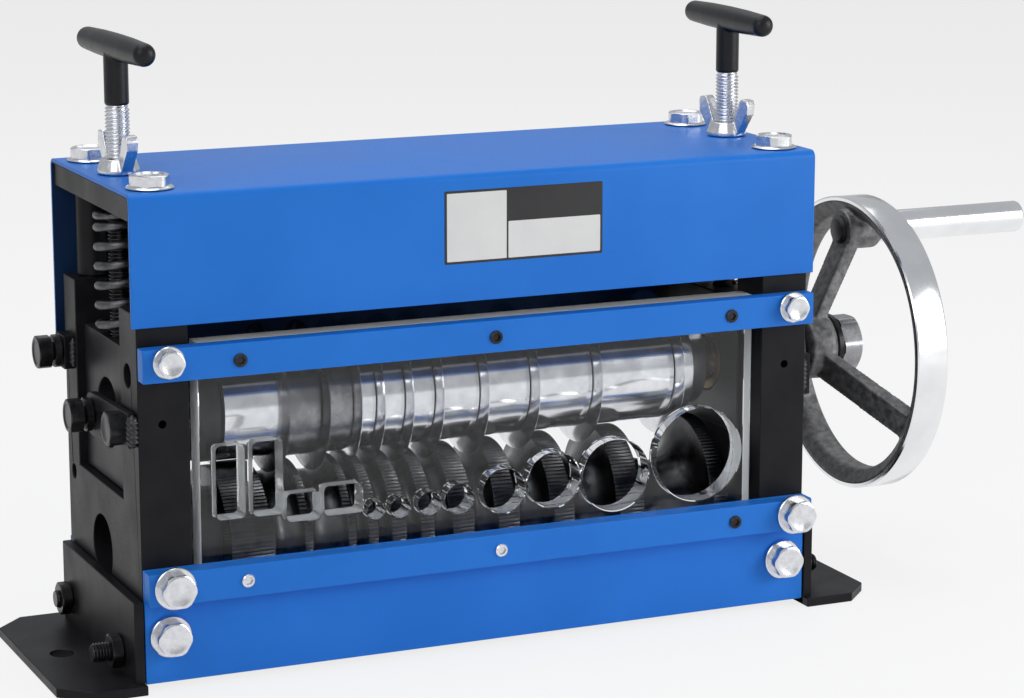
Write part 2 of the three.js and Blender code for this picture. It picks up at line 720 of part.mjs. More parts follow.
// Feed roller: journals and ridges in one turned piece, with its row of round grooves
function feedRoller() {
  const journal = feedJournalDiameter / 2;
  const end = plateOuterX - feedBushRecess;
  const profile = [[-end, 0], [-end, journal], [feedRollerLeftX, journal], [feedRollerLeftX, ridgeRadius],
    ...grooves.flatMap(groovePoints), [feedRollerRightX, ridgeRadius], [feedRollerRightX, journal],
    [end, journal], [end, 0]];
  return turned('x', profile, 0, feedAxisZ, 20);
}

function groovePoints({ x, half, floorRadius }) {
  const depth = ridgeRadius - floorRadius;
  const steps = half > wideGroove ? 6 : 4;
  const points = [];
  for (let step = 0; step <= steps; step += 1) {
    const angle = (step / steps) * Math.PI;
    points.push([x - half * Math.cos(angle), ridgeRadius - depth * Math.sin(angle)]);
  }
  return points;
}

// Lift spring: one unbroken wire that follows a list of points, mitred at each of them
function springPath() {
  const coilRadius = (springOuterDiameter - springWire) / 2;
  const low = blockTopZ + fitGap;
  const high = topPlateBottomZ - fitGap;
  const coilLow = low + springWire;
  const coilHigh = high - springWire;
  const steps = springCurls * springStepsPerCurl;
  const points = [new THREE.Vector3(0, -coilRadius, low)];
  for (let step = 0; step <= steps; step += 1) {
    const angle = (step / springStepsPerCurl) * 2 * Math.PI;
    const z = coilLow + ((coilHigh - coilLow) * step) / steps;
    points.push(new THREE.Vector3(coilRadius * Math.sin(angle), -coilRadius * Math.cos(angle), z));
  }
  const last = points[points.length - 1];
  points.push(new THREE.Vector3(last.x, last.y, high));
  return points;
}

function wire(path, radius, sides) {
  const steps = path.slice(1).map((point, index) => point.clone().sub(path[index]).normalize());
  const sideways = new THREE.Vector3(1, 0, 0);
  const forward = new THREE.Vector3().crossVectors(steps[0], sideways);
  let section = [];
  for (let side = 0; side < sides; side += 1) {
    const angle = (side / sides) * 2 * Math.PI;
    section.push(path[0].clone()
      .addScaledVector(sideways, radius * Math.cos(angle))
      .addScaledVector(forward, radius * Math.sin(angle)));
  }
  const rings = [section];
  for (let index = 1; index < path.length; index += 1) {
    const step = steps[index - 1];
    const normal = step.clone().add(steps[index] ?? step).normalize();
    section = section.map((corner) => {
      const reach = path[index].clone().sub(corner).dot(normal) / step.dot(normal);
      return corner.clone().addScaledVector(step, reach);
    });
    rings.push(section);
  }
  return tube(rings, sides);
}

function tube(rings, sides) {
  const triangles = [];
  for (let index = 0; index + 1 < rings.length; index += 1) {
    for (let side = 0; side < sides; side += 1) {
      const next = (side + 1) % sides;
      const [a, b] = [rings[index][side], rings[index][next]];
      const [c, d] = [rings[index + 1][side], rings[index + 1][next]];
      triangles.push(a, b, d, a, d, c);
    }
  }
  const [first, last] = [rings[0], rings[rings.length - 1]];
  for (let side = 1; side + 1 < sides; side += 1) {
    triangles.push(first[0], first[side + 1], first[side]);
    triangles.push(last[0], last[side], last[side + 1]);
  }
  return solid(new THREE.BufferGeometry().setFromPoints(triangles));
}

// Least gap between two stretches of the wire that are over half a curl apart
function leastSelfGap(path, wireDiameter) {
  const dense = [];
  for (let index = 0; index + 1 < path.length; index += 1) {
    for (const share of [0, 0.25, 0.5, 0.75]) dense.push(path[index].clone().lerp(path[index + 1], share));
  }
  const apart = (springStepsPerCurl * 4) / 2;
  let least = Infinity;
  for (let one = 0; one < dense.length; one += 1) {
    for (let two = one + apart; two < dense.length; two += 1) {
      least = Math.min(least, dense[one].distanceTo(dense[two]));
    }
  }
  return least - wireDiameter;
}

// Lift screw: a threaded length, and a thinner core that the T handle is moulded on
function liftScrew(x) {
  const profile = [[liftScrewBottomZ, 0], [liftScrewBottomZ, liftScrewDiameter / 2],
    [threadTopZ, liftScrewDiameter / 2], [threadTopZ, liftScrewCoreDiameter / 2],
    [handleCoreTopZ, liftScrewCoreDiameter / 2], [handleCoreTopZ, 0]];
  return turned('z', profile.map(([z, radius]) => [-z, radius]), x, 0, 16).rotate([180, 0, 0]);
}

function tHandle(x, turn) {
  const half = handleBarLength / 2;
  const radius = handleBarDiameter / 2;
  const end = radius * 0.55;
  const bar = turned('x', [[-half, 0], [-half, end], [end - half, radius], [half - end, radius],
    [half, end], [half, 0]], 0, 0, 14);
  const stem = rod('z', liftScrewDiameter / 2, threadTopZ + fitGap, handleBarZ, x, 0, 16);
  const bore = clearHole('z', liftScrewCoreDiameter, threadTopZ, handleCoreTopZ + fitGap, x, 0, 16);
  return cut(join(bar.rotate([0, 0, turn]).translate([x, 0, handleBarZ]), stem), bore);
}

function wingNut(x, turn) {
  const bottom = coverTopZ + fitGap;
  const top = bottom + wingNutHeight;
  const base = rod('z', wingNutBaseRadius, bottom, top, 0, 0, 12, wingNutBaseRadius - 1.6);
  const inner = wingNutBaseRadius - 3;
  const wing = (way) => prism('y', polygon([
    [way * inner, bottom + 1], [way * (wingSpan / 2 - 1), bottom + wingHeight - 7],
    [way * (wingSpan / 2), bottom + wingHeight - 2], [way * (wingSpan / 2 - 2.5), bottom + wingHeight],
    [way * (wingSpan / 2 - 5.5), bottom + wingHeight - 1.5], [way * inner, top - 0.5],
  ]), -wingThickness / 2, wingThickness / 2);
  const bore = clearHole('z', liftScrewDiameter, bottom - cutAllowance, top + wingHeight, 0, 0, 16);
  return cut(join(base, wing(-1), wing(1)), bore).rotate([0, 0, turn]).translate([x, 0, 0]);
}

// Handwheel: a rim, a hub set in towards the machine and dished spokes. One spoke has the boss that
// the grip's pin is riveted into.
function handwheel() {
  const rimRightX = wheelRimLeftX + wheelRimWidth;
  const inner = wheelRadius - wheelRimDepth;
  const rim = turned('x', [[wheelRimLeftX, wheelRadius], [wheelRimLeftX, wheelRadius - 3],
    [wheelRimLeftX + 3, inner], [rimRightX - 2, inner], [rimRightX, inner + 2], [rimRightX, wheelRadius - 1],
    [rimRightX - 1, wheelRadius], [wheelRimLeftX, wheelRadius]], 0, 0, 36);
  const hub = rod('x', wheelHubRadius, wheelHubLeftX, wheelHubRightX, 0, 0, 24);
  const root = wheelBoreDiameter / 2 + 2;
  const spokeSide = polygon([[wheelHubLeftX + 2, root], [wheelHubRightX - 1, root],
    [wheelHubRightX - 1, wheelHubRadius], [wheelRimLeftX + 12, inner + 2], [wheelRimLeftX + 4, inner + 2]]);
  const spokes = [];
  for (let index = 0; index < spokeCount; index += 1) {
    const spoke = prism('y', spokeSide, -spokeWidth / 2, spokeWidth / 2);
    spokes.push(spoke.rotate([(index * 360) / spokeCount, 0, 0]));
  }
  const boss = rod('x', gripBossRadius, wheelRimLeftX - 2, rimRightX, 0, gripRadius, 16);
  const bore = clearHole('x', wheelBoreDiameter, wheelHubLeftX - cutAllowance, wheelHubRightX + cutAllowance,
    0, 0, 20);
  const pinHead = wheelRimLeftX - 4.5;
  const pin = join(
    rod('x', gripPinDiameter / 2, pinHead, gripBoreEndX - fitGap, 0, gripRadius, 12),
    rod('x', gripPinDiameter / 2 + 2.4, pinHead, wheelRimLeftX, 0, gripRadius, 12),
  );
  return join(cut(join(rim, hub, ...spokes, boss), bore), pin).translate([0, 0, cutterAxisZ]);
}

const gripLeftX = wheelRimLeftX + wheelRimWidth + fitGap;
const gripBoreEndX = gripEndX - 22;

function crankGrip() {
  const outer = gripDiameter / 2;
  const bore = gripPinDiameter / 2 + fitGap;
  const profile = [[gripLeftX, bore], [gripLeftX, outer], [gripEndX - gripChamfer, outer],
    [gripEndX, outer - gripChamfer], [gripEndX, 0], [gripBoreEndX, 0], [gripBoreEndX, bore],
    [gripLeftX, bore]];
  return turned('x', profile, 0, cutterAxisZ + gripRadius, 20);
}

// The nut is screwed down on its washer, and the two are one piece here
function wheelNut() {
  const end = wheelNutLeftX + wheelNutThickness;
  const hexagonal = hexagon('x', wheelNutWidth, wheelNutLeftX, end, 0, cutterAxisZ);
  const washer = rod('x', wheelNutWidth / 2 + 1.5, wheelWasherLeftX, wheelNutLeftX, 0, cutterAxisZ, 20);
  const through = [wheelWasherLeftX - cutAllowance, end + cutAllowance];
  const bore = clearHole('x', wheelBoreDiameter, ...through, 0, cutterAxisZ, 20);
  return cut(join(hexagonal, washer), bore);
}

// The fixed frame
for (const [side, word] of [[-1, 'left'], [1, 'right']]) {
  place(`side_plate_${word}`, sidePlate(side), 'blackPaint');
  place(`foot_${word}`, foot(side), 'blackPaint');
  place(`feed_bush_${word}`, bush(side, feedJournalDiameter, feedBushOuter, plateInnerX,
    plateOuterX - feedBushRecess, feedAxisZ), 'bronze');
  place(`foot_bolt_front_${word}`, footBolt(side, footBoltFront), 'blackPaint');
  place(`foot_bolt_back_${word}`, footBolt(side, footBoltBack), 'blackPaint');
  place(`cover_bolt_front_${word}`, coverBolt(side, frontLegY), 'zinc');
  place(`cover_bolt_back_${word}`, coverBolt(side, backLegY), 'zinc');
  const seat = side < 0 ? 0 : 1;
  place(`upper_bar_bolt_${word}`, frontBolt(upperBarBolts[seat], m6, upperBarFrontY - fitGap), 'zinc');
  place(`lower_bar_bolt_${word}`, frontBolt(lowerBarBolts[seat], m8, lowerBarFrontY - fitGap), 'zinc');
  place(`panel_bolt_${word}`, frontBolt(panelBolts[seat], m8, panelFrontY - fitGap), 'zinc');
}
place('top_plate', topPlate(), 'blackPaint');
place('cover', coverSheetSolid(), 'bluePaint');
place('guide_plate', guidePlate(), 'acrylic');
place('upper_front_bar', upperFrontBar(), 'bluePaint');
place('lower_front_bar', lowerFrontBar(), 'bluePaint');
place('front_panel', frontPanel(), 'bluePaint');
place('rear_panel', rearPanel(), 'bluePaint');
place('stop_strap', stopStrap(), 'blackPaint');
const thrustBoltTipX = shaftLeftEndX - fitGap;
const lugBoltTipX = lugBoltDepth - 2 - plateOuterX;
place('thrust_bolt', stopBolt(locknutSeatX, stopBoltSeatX, thrustBoltTipX, 0, cutterAxisZ), 'blackPaint');
place('lug_bolt', stopBolt(lugLocknutSeatX, lugStopBoltSeatX, lugBoltTipX, lugBoltSeat.y, lugBoltSeat.z),
  'blackPaint');

// What slides up and down in the slots, with the springs above it
const spring = springPath();
console.log('least gap between spring curls, mm:', leastSelfGap(spring, springWire).toFixed(2));
for (const [side, word] of [[-1, 'left'], [1, 'right']]) {
  place(`slide_block_${word}`, slideBlock(side), 'steel');
  place(`cutter_bush_${word}`, bush(side, cutterShaftDiameter, cutterBushOuter, blockInnerX,
    blockOuterX - cutterBushRecess, cutterAxisZ), 'bronze');
  const curls = place(`lift_spring_${word}`, wire(spring, springWire / 2, springSides), 'springSteel');
  curls.position.x = side * liftScrewX;
  place(`lift_screw_${word}`, liftScrew(side * liftScrewX), 'zinc');
  place(`t_handle_${word}`, tHandle(side * liftScrewX, handleTurn[word]), 'blackPlastic');
  place(`wing_nut_${word}`, wingNut(side * liftScrewX, wingNutTurn[word]), 'zinc');
}

// The cutter shaft and everything that turns with it
place('cutter_shaft', cutterShaft(), 'steel');
place('cutter_gear', gear(0.5, cutterAxisZ, cutterShaftDiameter, cutterHubRadius), 'steel');
bladeCentres.forEach((x, index) => place(`blade_${index + 1}`, blade(x, index), 'blade'));
place('handwheel', handwheel(), 'castIron');
place('wheel_nut', wheelNut(), 'steel');
place('crank_grip', crankGrip(), 'chrome');

// The feed roller, driven by the gear pair
place('feed_roller', feedRoller(), 'steel');
place('feed_gear', gear(0, feedAxisZ, feedJournalDiameter, feedHubRadius), 'steel');

// The origin goes to the middle of the footprint, on the surface that the feet stand on
machine.updateMatrixWorld(true);
const reach = new THREE.Box3().setFromObject(machine, true);
machine.position.set(-(reach.min.x + reach.max.x) / 2, -(reach.min.y + reach.max.y) / 2, -reach.min.z);

export default machine;
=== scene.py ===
"""Looks of a hand crank wire stripper: a bench machine with a shaft of round blades over a grooved
feed roller, a clear guide plate with cable channels, blue bars and cover, and a handwheel.

Sizes are in millimetres on the machine's own axes, x = 0 at its middle, y = 0 on the two shafts and
z = 0 under the feet. Each mesh is moved to the frame, in metres, when it is made."""
from math import cos, pi, radians, sin, tan

import bmesh
import bpy
from mathutils import Matrix, Vector


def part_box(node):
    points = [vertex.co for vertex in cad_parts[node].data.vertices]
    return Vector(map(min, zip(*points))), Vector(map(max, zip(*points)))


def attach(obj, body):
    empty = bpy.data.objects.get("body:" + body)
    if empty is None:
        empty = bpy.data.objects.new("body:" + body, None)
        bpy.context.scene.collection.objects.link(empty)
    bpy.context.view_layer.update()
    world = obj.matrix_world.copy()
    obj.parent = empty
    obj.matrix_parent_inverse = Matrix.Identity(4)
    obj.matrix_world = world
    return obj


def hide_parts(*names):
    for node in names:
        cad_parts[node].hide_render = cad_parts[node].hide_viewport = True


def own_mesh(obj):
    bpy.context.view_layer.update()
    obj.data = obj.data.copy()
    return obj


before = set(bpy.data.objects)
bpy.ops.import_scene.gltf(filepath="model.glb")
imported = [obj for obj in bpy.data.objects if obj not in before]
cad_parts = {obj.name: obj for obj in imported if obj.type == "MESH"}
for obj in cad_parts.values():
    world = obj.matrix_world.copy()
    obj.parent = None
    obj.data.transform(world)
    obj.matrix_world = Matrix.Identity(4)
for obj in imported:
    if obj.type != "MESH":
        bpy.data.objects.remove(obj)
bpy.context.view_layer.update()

MM = 0.001
TAU = 2 * pi
scene = bpy.context.scene
COVER_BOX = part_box("cover")
SHAFT_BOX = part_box("cutter_shaft")
MIDDLE = Vector(((COVER_BOX[0].x + COVER_BOX[1].x) / 2, (SHAFT_BOX[0].y + SHAFT_BOX[1].y) / 2, 0))
TO_FRAME = Matrix.Translation(MIDDLE) @ Matrix.Scale(MM, 4)
FIT_GAP = 0.3


def limits(node):
    """A node's lowest and highest corners in millimetres, on the machine's axes."""
    low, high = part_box(node)
    return (low - MIDDLE) / MM, (high - MIDDLE) / MM


def centre(node):
    low, high = limits(node)
    return (low + high) / 2


CUTTER_Z = centre("cutter_shaft").z
FEED_Z = centre("feed_roller").z


# Camera: the photograph's place, seen from the machine's middle
CAMERA_PLACE = Vector((-481.9, -1161.4, 380.0))
CAMERA_YAW = 23.99
CAMERA_PITCH = 11.75
CAMERA_LENS = 106.8
CAMERA_SHIFT_Y = -0.0074


def placed(name, data):
    thing = bpy.data.objects.new(name, data)
    scene.collection.objects.link(thing)
    return thing


camera = placed("camera", bpy.data.cameras.new("camera"))
camera.location = TO_FRAME @ CAMERA_PLACE
camera.rotation_euler = (radians(90 - CAMERA_PITCH), 0, radians(-CAMERA_YAW))
camera.data.lens = CAMERA_LENS
camera.data.shift_y = CAMERA_SHIFT_Y
scene.camera = camera
scene.view_settings.view_transform = "Standard"


# Shapes: a shape is its points and its faces
def skin(rings, closed=False):
    """Faces between rings of equally many points. An open stack gets a face on each end."""
    count = len(rings[0])
    points = [point for ring in rings for point in ring]
    faces = []
    for row in range(len(rings) if closed else len(rings) - 1):
        near = row * count
        far = (row + 1) % len(rings) * count
        for here in range(count):
            there = (here + 1) % count
            faces.append((near + here, near + there, far + there, far + here))
    if not closed:
        faces.append(tuple(reversed(range(count))))
        faces.append(tuple(range(len(points) - count, len(points))))
    return points, faces


def revolve(profile, count=64, closed=False):
    """Rings around Z. An entry is (radius, height), or a function of the angle that gives both."""
    rings = []
    for entry in profile:
        ring = []
        for step in range(count):
            angle = TAU * step / count
            radius, height = entry(angle) if callable(entry) else entry
            ring.append(Vector((radius * cos(angle), radius * sin(angle), height)))
        rings.append(ring)
    return skin(rings, closed)


def filled(outlines):
    """Points, triangles and rim corners of a flat area with an outline and holes."""
    bm = bmesh.new()
    loops = []
    for corners in outlines:
        loop = [bm.verts.new((a, b, 0)) for a, b in corners]
        for here, there in zip(loop, loop[1:] + loop[:1]):
            bm.edges.new((here, there))
        loops.append(loop)
    bmesh.ops.triangle_fill(bm, use_beauty=True, edges=bm.edges[:])
    bm.verts.index_update()
    triangles = [tuple(vertex.index for vertex in face.verts) for face in bm.faces]
    rims = [[vertex.index for vertex in loop] for loop in loops]
    bm.free()
    return triangles, rims


def plate(loops_at, low, high, rim=0.0):
    """A flat plate between two heights along Z. loops_at gives its outline and holes for how far the
    edges step back, and rim is the size of the chamfer on all of them."""
    levels = [(low, rim), (low + rim, 0), (high - rim, 0), (high, rim)] if rim else [(low, 0), (high, 0)]
    triangles, rims = filled(loops_at(rim))
    points = [Vector((a, b, height)) for height, step in levels for loop in loops_at(step) for a, b in loop]
    count = len(points) // len(levels)
    top = len(points) - count
    faces = [tuple(reversed(corners)) for corners in triangles]
    faces += [tuple(top + index for index in corners) for corners in triangles]
    for level in range(len(levels) - 1):
        near = level * count
        for loop in rims:
            for here, there in zip(loop, loop[1:] + loop[:1]):
                faces.append((near + here, near + there, near + count + there, near + count + here))
    return points, faces


def slab(outline, low, high, holes=()):
    """A flat plate with sharp edges."""
    return plate(lambda step: [outline, *holes], low, high)


def box(low, high):
    outline = [(low[0], low[1]), (high[0], low[1]), (high[0], high[1]), (low[0], high[1])]
    return slab(outline, low[2], high[2])


def moved(shape, matrix):
    points, faces = shape
    return [matrix @ point for point in points], faces


def together(*shapes):
    points = []
    faces = []
    for some_points, some_faces in shapes:
        first = len(points)
        points.extend(some_points)
        faces.extend(tuple(first + index for index in face) for face in some_faces)
    return points, faces


ACROSS = {
    "x": Matrix(((0, 0, 1, 0), (1, 0, 0, 0), (0, 1, 0, 0), (0, 0, 0, 1))),
    "y": Matrix(((1, 0, 0, 0), (0, 0, 1, 0), (0, 1, 0, 0), (0, 0, 0, 1))),
    "z": Matrix.Identity(4),
}


def along(axis, shape, place=(0, 0, 0)):
    """Lays a shape made around Z along an axis. A plate's outline then reads (y, z), (x, z) or (x, y)."""
    return moved(shape, Matrix.Translation(place) @ ACROSS[axis])


def through(node, axis, shape):
    """Lays a shape made around Z along an axis through a node's middle."""
    middle = centre(node)
    middle["xyz".index(axis)] = 0
    return along(axis, shape, middle)


def on_cutter(shape, up=0):
    """Lays a shape made around Z on the cutter's axis, or that far above it."""
    return along("x", shape, (0, 0, CUTTER_Z + up))


def arc(radius, a, b, start, end, steps):
    turns = [radians(start + (end - start) * step / steps) for step in range(steps + 1)]
    return [(a + radius * cos(turn), b + radius * sin(turn)) for turn in turns]


def circle(radius, a=0, b=0, count=48):
    return arc(radius, a, b, 0, 360, count)[:-1]


def rounded_box(a0, a1, b0, b1, radius, steps=6):
    return [*arc(radius, a0 + radius, b0 + radius, 180, 270, steps),
            *arc(radius, a1 - radius, b0 + radius, 270, 360, steps),
            *arc(radius, a1 - radius, b1 - radius, 0, 90, steps),
            *arc(radius, a0 + radius, b1 - radius, 90, 180, steps)]


def mesh_data(name, points, faces):
    """A mesh in the frame's metres whose faces all look outwards."""
    data = bpy.data.meshes.new(name)
    data.from_pydata([TO_FRAME @ point for point in points], [], faces)
    bm = bmesh.new()
    bm.from_mesh(data)
    bmesh.ops.recalc_face_normals(bm, faces=bm.faces)
    bm.to_mesh(data)
    bm.free()
    return data


# Making a piece: its mesh, its finish, the body that it rides on and the nodes that it stands for
def make(name, shape, body, look, nodes=(), edge=0.0, smooth=32, fuse=0.0, relax=0):
    data = mesh_data(name, *shape)
    data.materials.append(look_material(look))
    piece = placed(name, data)
    if fuse:
        fuse_solids(piece, fuse, relax)
    data = piece.data
    data.polygons.foreach_set("use_smooth", [True] * len(data.polygons))
    if edge:
        modify(piece, "BEVEL", width=edge * MM, segments=2, limit_method="ANGLE", angle_limit=radians(30),
               harden_normals=True, use_clamp_overlap=True)
    elif not fuse:
        data.set_sharp_from_angle(angle=radians(smooth))
    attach(piece, body)
    if nodes:
        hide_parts(*nodes)
    return piece


def dress(node, shape, body, look, **finish):
    """The piece that stands for one node."""
    return make(f"{node}_dressed", shape, body, look, [node], **finish)


def tuned(thing, settings):
    for key, value in settings.items():
        setattr(thing, key, value)
    return thing


def modify(piece, kind, **settings):
    tuned(piece.modifiers.new(kind, kind), settings)


def fuse_solids(piece, voxel, relax):
    """Melts a piece's solids into one skin with filleted joins, as a casting or a dipped coat has."""
    modify(piece, "REMESH", mode="VOXEL", voxel_size=voxel * MM)
    modify(piece, "SMOOTH", factor=0.5, iterations=relax)
    settle(piece)


def cut_away(piece, shape):
    """Cuts a shape out of a finished piece."""
    tool = placed("cutter", mesh_data("cutter", *shape))
    modify(piece, "BOOLEAN", operation="DIFFERENCE", solver="EXACT", object=tool)
    settle(piece)
    bpy.data.objects.remove(tool)


def settle(piece):
    """Applies a piece's modifiers."""
    depsgraph = bpy.context.evaluated_depsgraph_get()
    done = bpy.data.meshes.new_from_object(piece.evaluated_get(depsgraph))
    piece.modifiers.clear()
    piece.data = done


# Finishes
def finish_nodes(name):
    material = bpy.data.materials.new(name)
    material.use_nodes = True
    return material, material.node_tree, material.node_tree.nodes["Principled BSDF"]


def feed(tree, node, inputs):
    """Gives a node's inputs their values, or links them to other nodes' outputs."""
    for key, value in dict(inputs).items():
        if isinstance(value, bpy.types.NodeSocket):
            tree.links.new(value, node.inputs[key])
        else:
            node.inputs[key].default_value = value


def add(tree, kind, inputs=(), **settings):
    node = tuned(tree.nodes.new(kind), settings)
    feed(tree, node, inputs)
    return node


def calc(tree, operation, *values):
    return add(tree, "ShaderNodeMath", enumerate(values), operation=operation).outputs[0]


def show_mix(tree, share, first, second):
    """Shows the first node's shader where the share is zero and the second's where it is one."""
    mix = add(tree, "ShaderNodeMixShader", {0: share, 1: first.outputs[0], 2: second.outputs[0]})
    tree.links.new(mix.outputs[0], tree.nodes["Material Output"].inputs["Surface"])


def surface_point(tree, stretch=(1, 1, 1)):
    """The place on the piece, in metres, stretched for grain that runs one way."""
    place = add(tree, "ShaderNodeTexCoord")
    return add(tree, "ShaderNodeMapping", {"Vector": place.outputs["Object"], "Scale": stretch}).outputs[0]


def noise(tree, place, size_mm, detail=3, roughness=0.55):
    """Noise whose blotches are about size_mm wide."""
    values = {"Vector": place, "Scale": 1 / (size_mm * MM), "Detail": detail, "Roughness": roughness}
    return add(tree, "ShaderNodeTexNoise", values).outputs["Fac"]


def remap(tree, value, low, high, to_low, to_high):
    values = {"Value": value, "From Min": low, "From Max": high, "To Min": to_low, "To Max": to_high}
    return add(tree, "ShaderNodeMapRange", values).outputs["Result"]


def mixed_colour(tree, share, first, second):
    values = {"Factor": share, "A": (*first, 1), "B": (*second, 1)}
    return add(tree, "ShaderNodeMix", values, data_type="RGBA").outputs["Result"]


def bumpy(tree, height, depth_mm, normal=None):
    values = {"Height": height, "Distance": depth_mm * MM, "Strength": 1.0}
    if normal is not None:
        values["Normal"] = normal
    return add(tree, "ShaderNodeBump", values).outputs["Normal"]


def finished(look):
    """A painted, plated or turned surface. A look says its colours, its gloss range and its grain."""
    material, tree, shader = finish_nodes(look["name"])
    blotch = noise(tree, surface_point(tree), look["blotch"], 4)
    grain = noise(tree, surface_point(tree, look.get("stretch", (1, 1, 1))), look["grain"], 5, 0.6)
    share = remap(tree, blotch, 0.35, 0.68, 0, 1)
    normal = bumpy(tree, grain, look["depth"])
    if "wave" in look:
        normal = bumpy(tree, noise(tree, surface_point(tree), look["wave"], 2), look["wave_depth"], normal)
    feed(tree, shader, {
        "Base Color": mixed_colour(tree, share, look["dark"], look["light"]),
        "Roughness": remap(tree, calc(tree, "ADD", blotch, grain), 0.7, 1.3, *look["rough"]),
        "Normal": normal,
        "Metallic": look.get("metal", 0),
        "Specular IOR Level": look.get("shine", 0.5)})
    return material


def milled_walls(tree, place_x, share):
    """That share on the walls of the milled slots, and zero on the faces and the drilled channels."""
    normal = add(tree, "ShaderNodeNewGeometry").outputs["True Normal"]
    facing = add(tree, "ShaderNodeSeparateXYZ", {"Vector": normal}).outputs["Y"]
    wall = calc(tree, "LESS_THAN", calc(tree, "ABSOLUTE", facing), 0.5)
    slots_end = (TO_FRAME @ Vector((SLOTS_END_X, 0, 0))).x
    among = calc(tree, "LESS_THAN", place_x, slots_end)
    return remap(tree, calc(tree, "MULTIPLY", wall, among), 0, 1, 0, share)


def clear_acrylic(look):
    """Clear plate that bends light and lets lamps through. Its sawn outer edges are frosted."""
    material, tree, shader = finish_nodes(look["name"])
    low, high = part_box("guide_plate")
    place = add(tree, "ShaderNodeTexCoord").outputs["Object"]
    parts = add(tree, "ShaderNodeSeparateXYZ", {"Vector": place}).outputs
    reach = []
    for axis, name in ((0, "X"), (2, "Z")):
        away = calc(tree, "ABSOLUTE", calc(tree, "SUBTRACT", parts[name], (low[axis] + high[axis]) / 2))
        reach.append(remap(tree, away, 0, (high[axis] - low[axis]) / 2, 0, 1))
    frosted = calc(tree, "GREATER_THAN", calc(tree, "MAXIMUM", *reach), look["edge_from"])
    matt = calc(tree, "MAXIMUM", frosted, milled_walls(tree, parts["X"], look["wall_matt"]))
    feed(tree, shader, {
        "Base Color": (*look["light"], 1),
        "IOR": look["bending"],
        "Transmission Weight": remap(tree, matt, 0, 1, 1, look["edge_clear"]),
        "Roughness": remap(tree, matt, 0, 1, 0, look["edge_rough"]),
        "Specular Tint": (*look["glare"], 1)})
    passing = add(tree, "ShaderNodeBsdfTransparent", {"Color": (*look["passed"], 1)})
    show_mix(tree, add(tree, "ShaderNodeLightPath").outputs["Is Shadow Ray"], shader, passing)
    return material


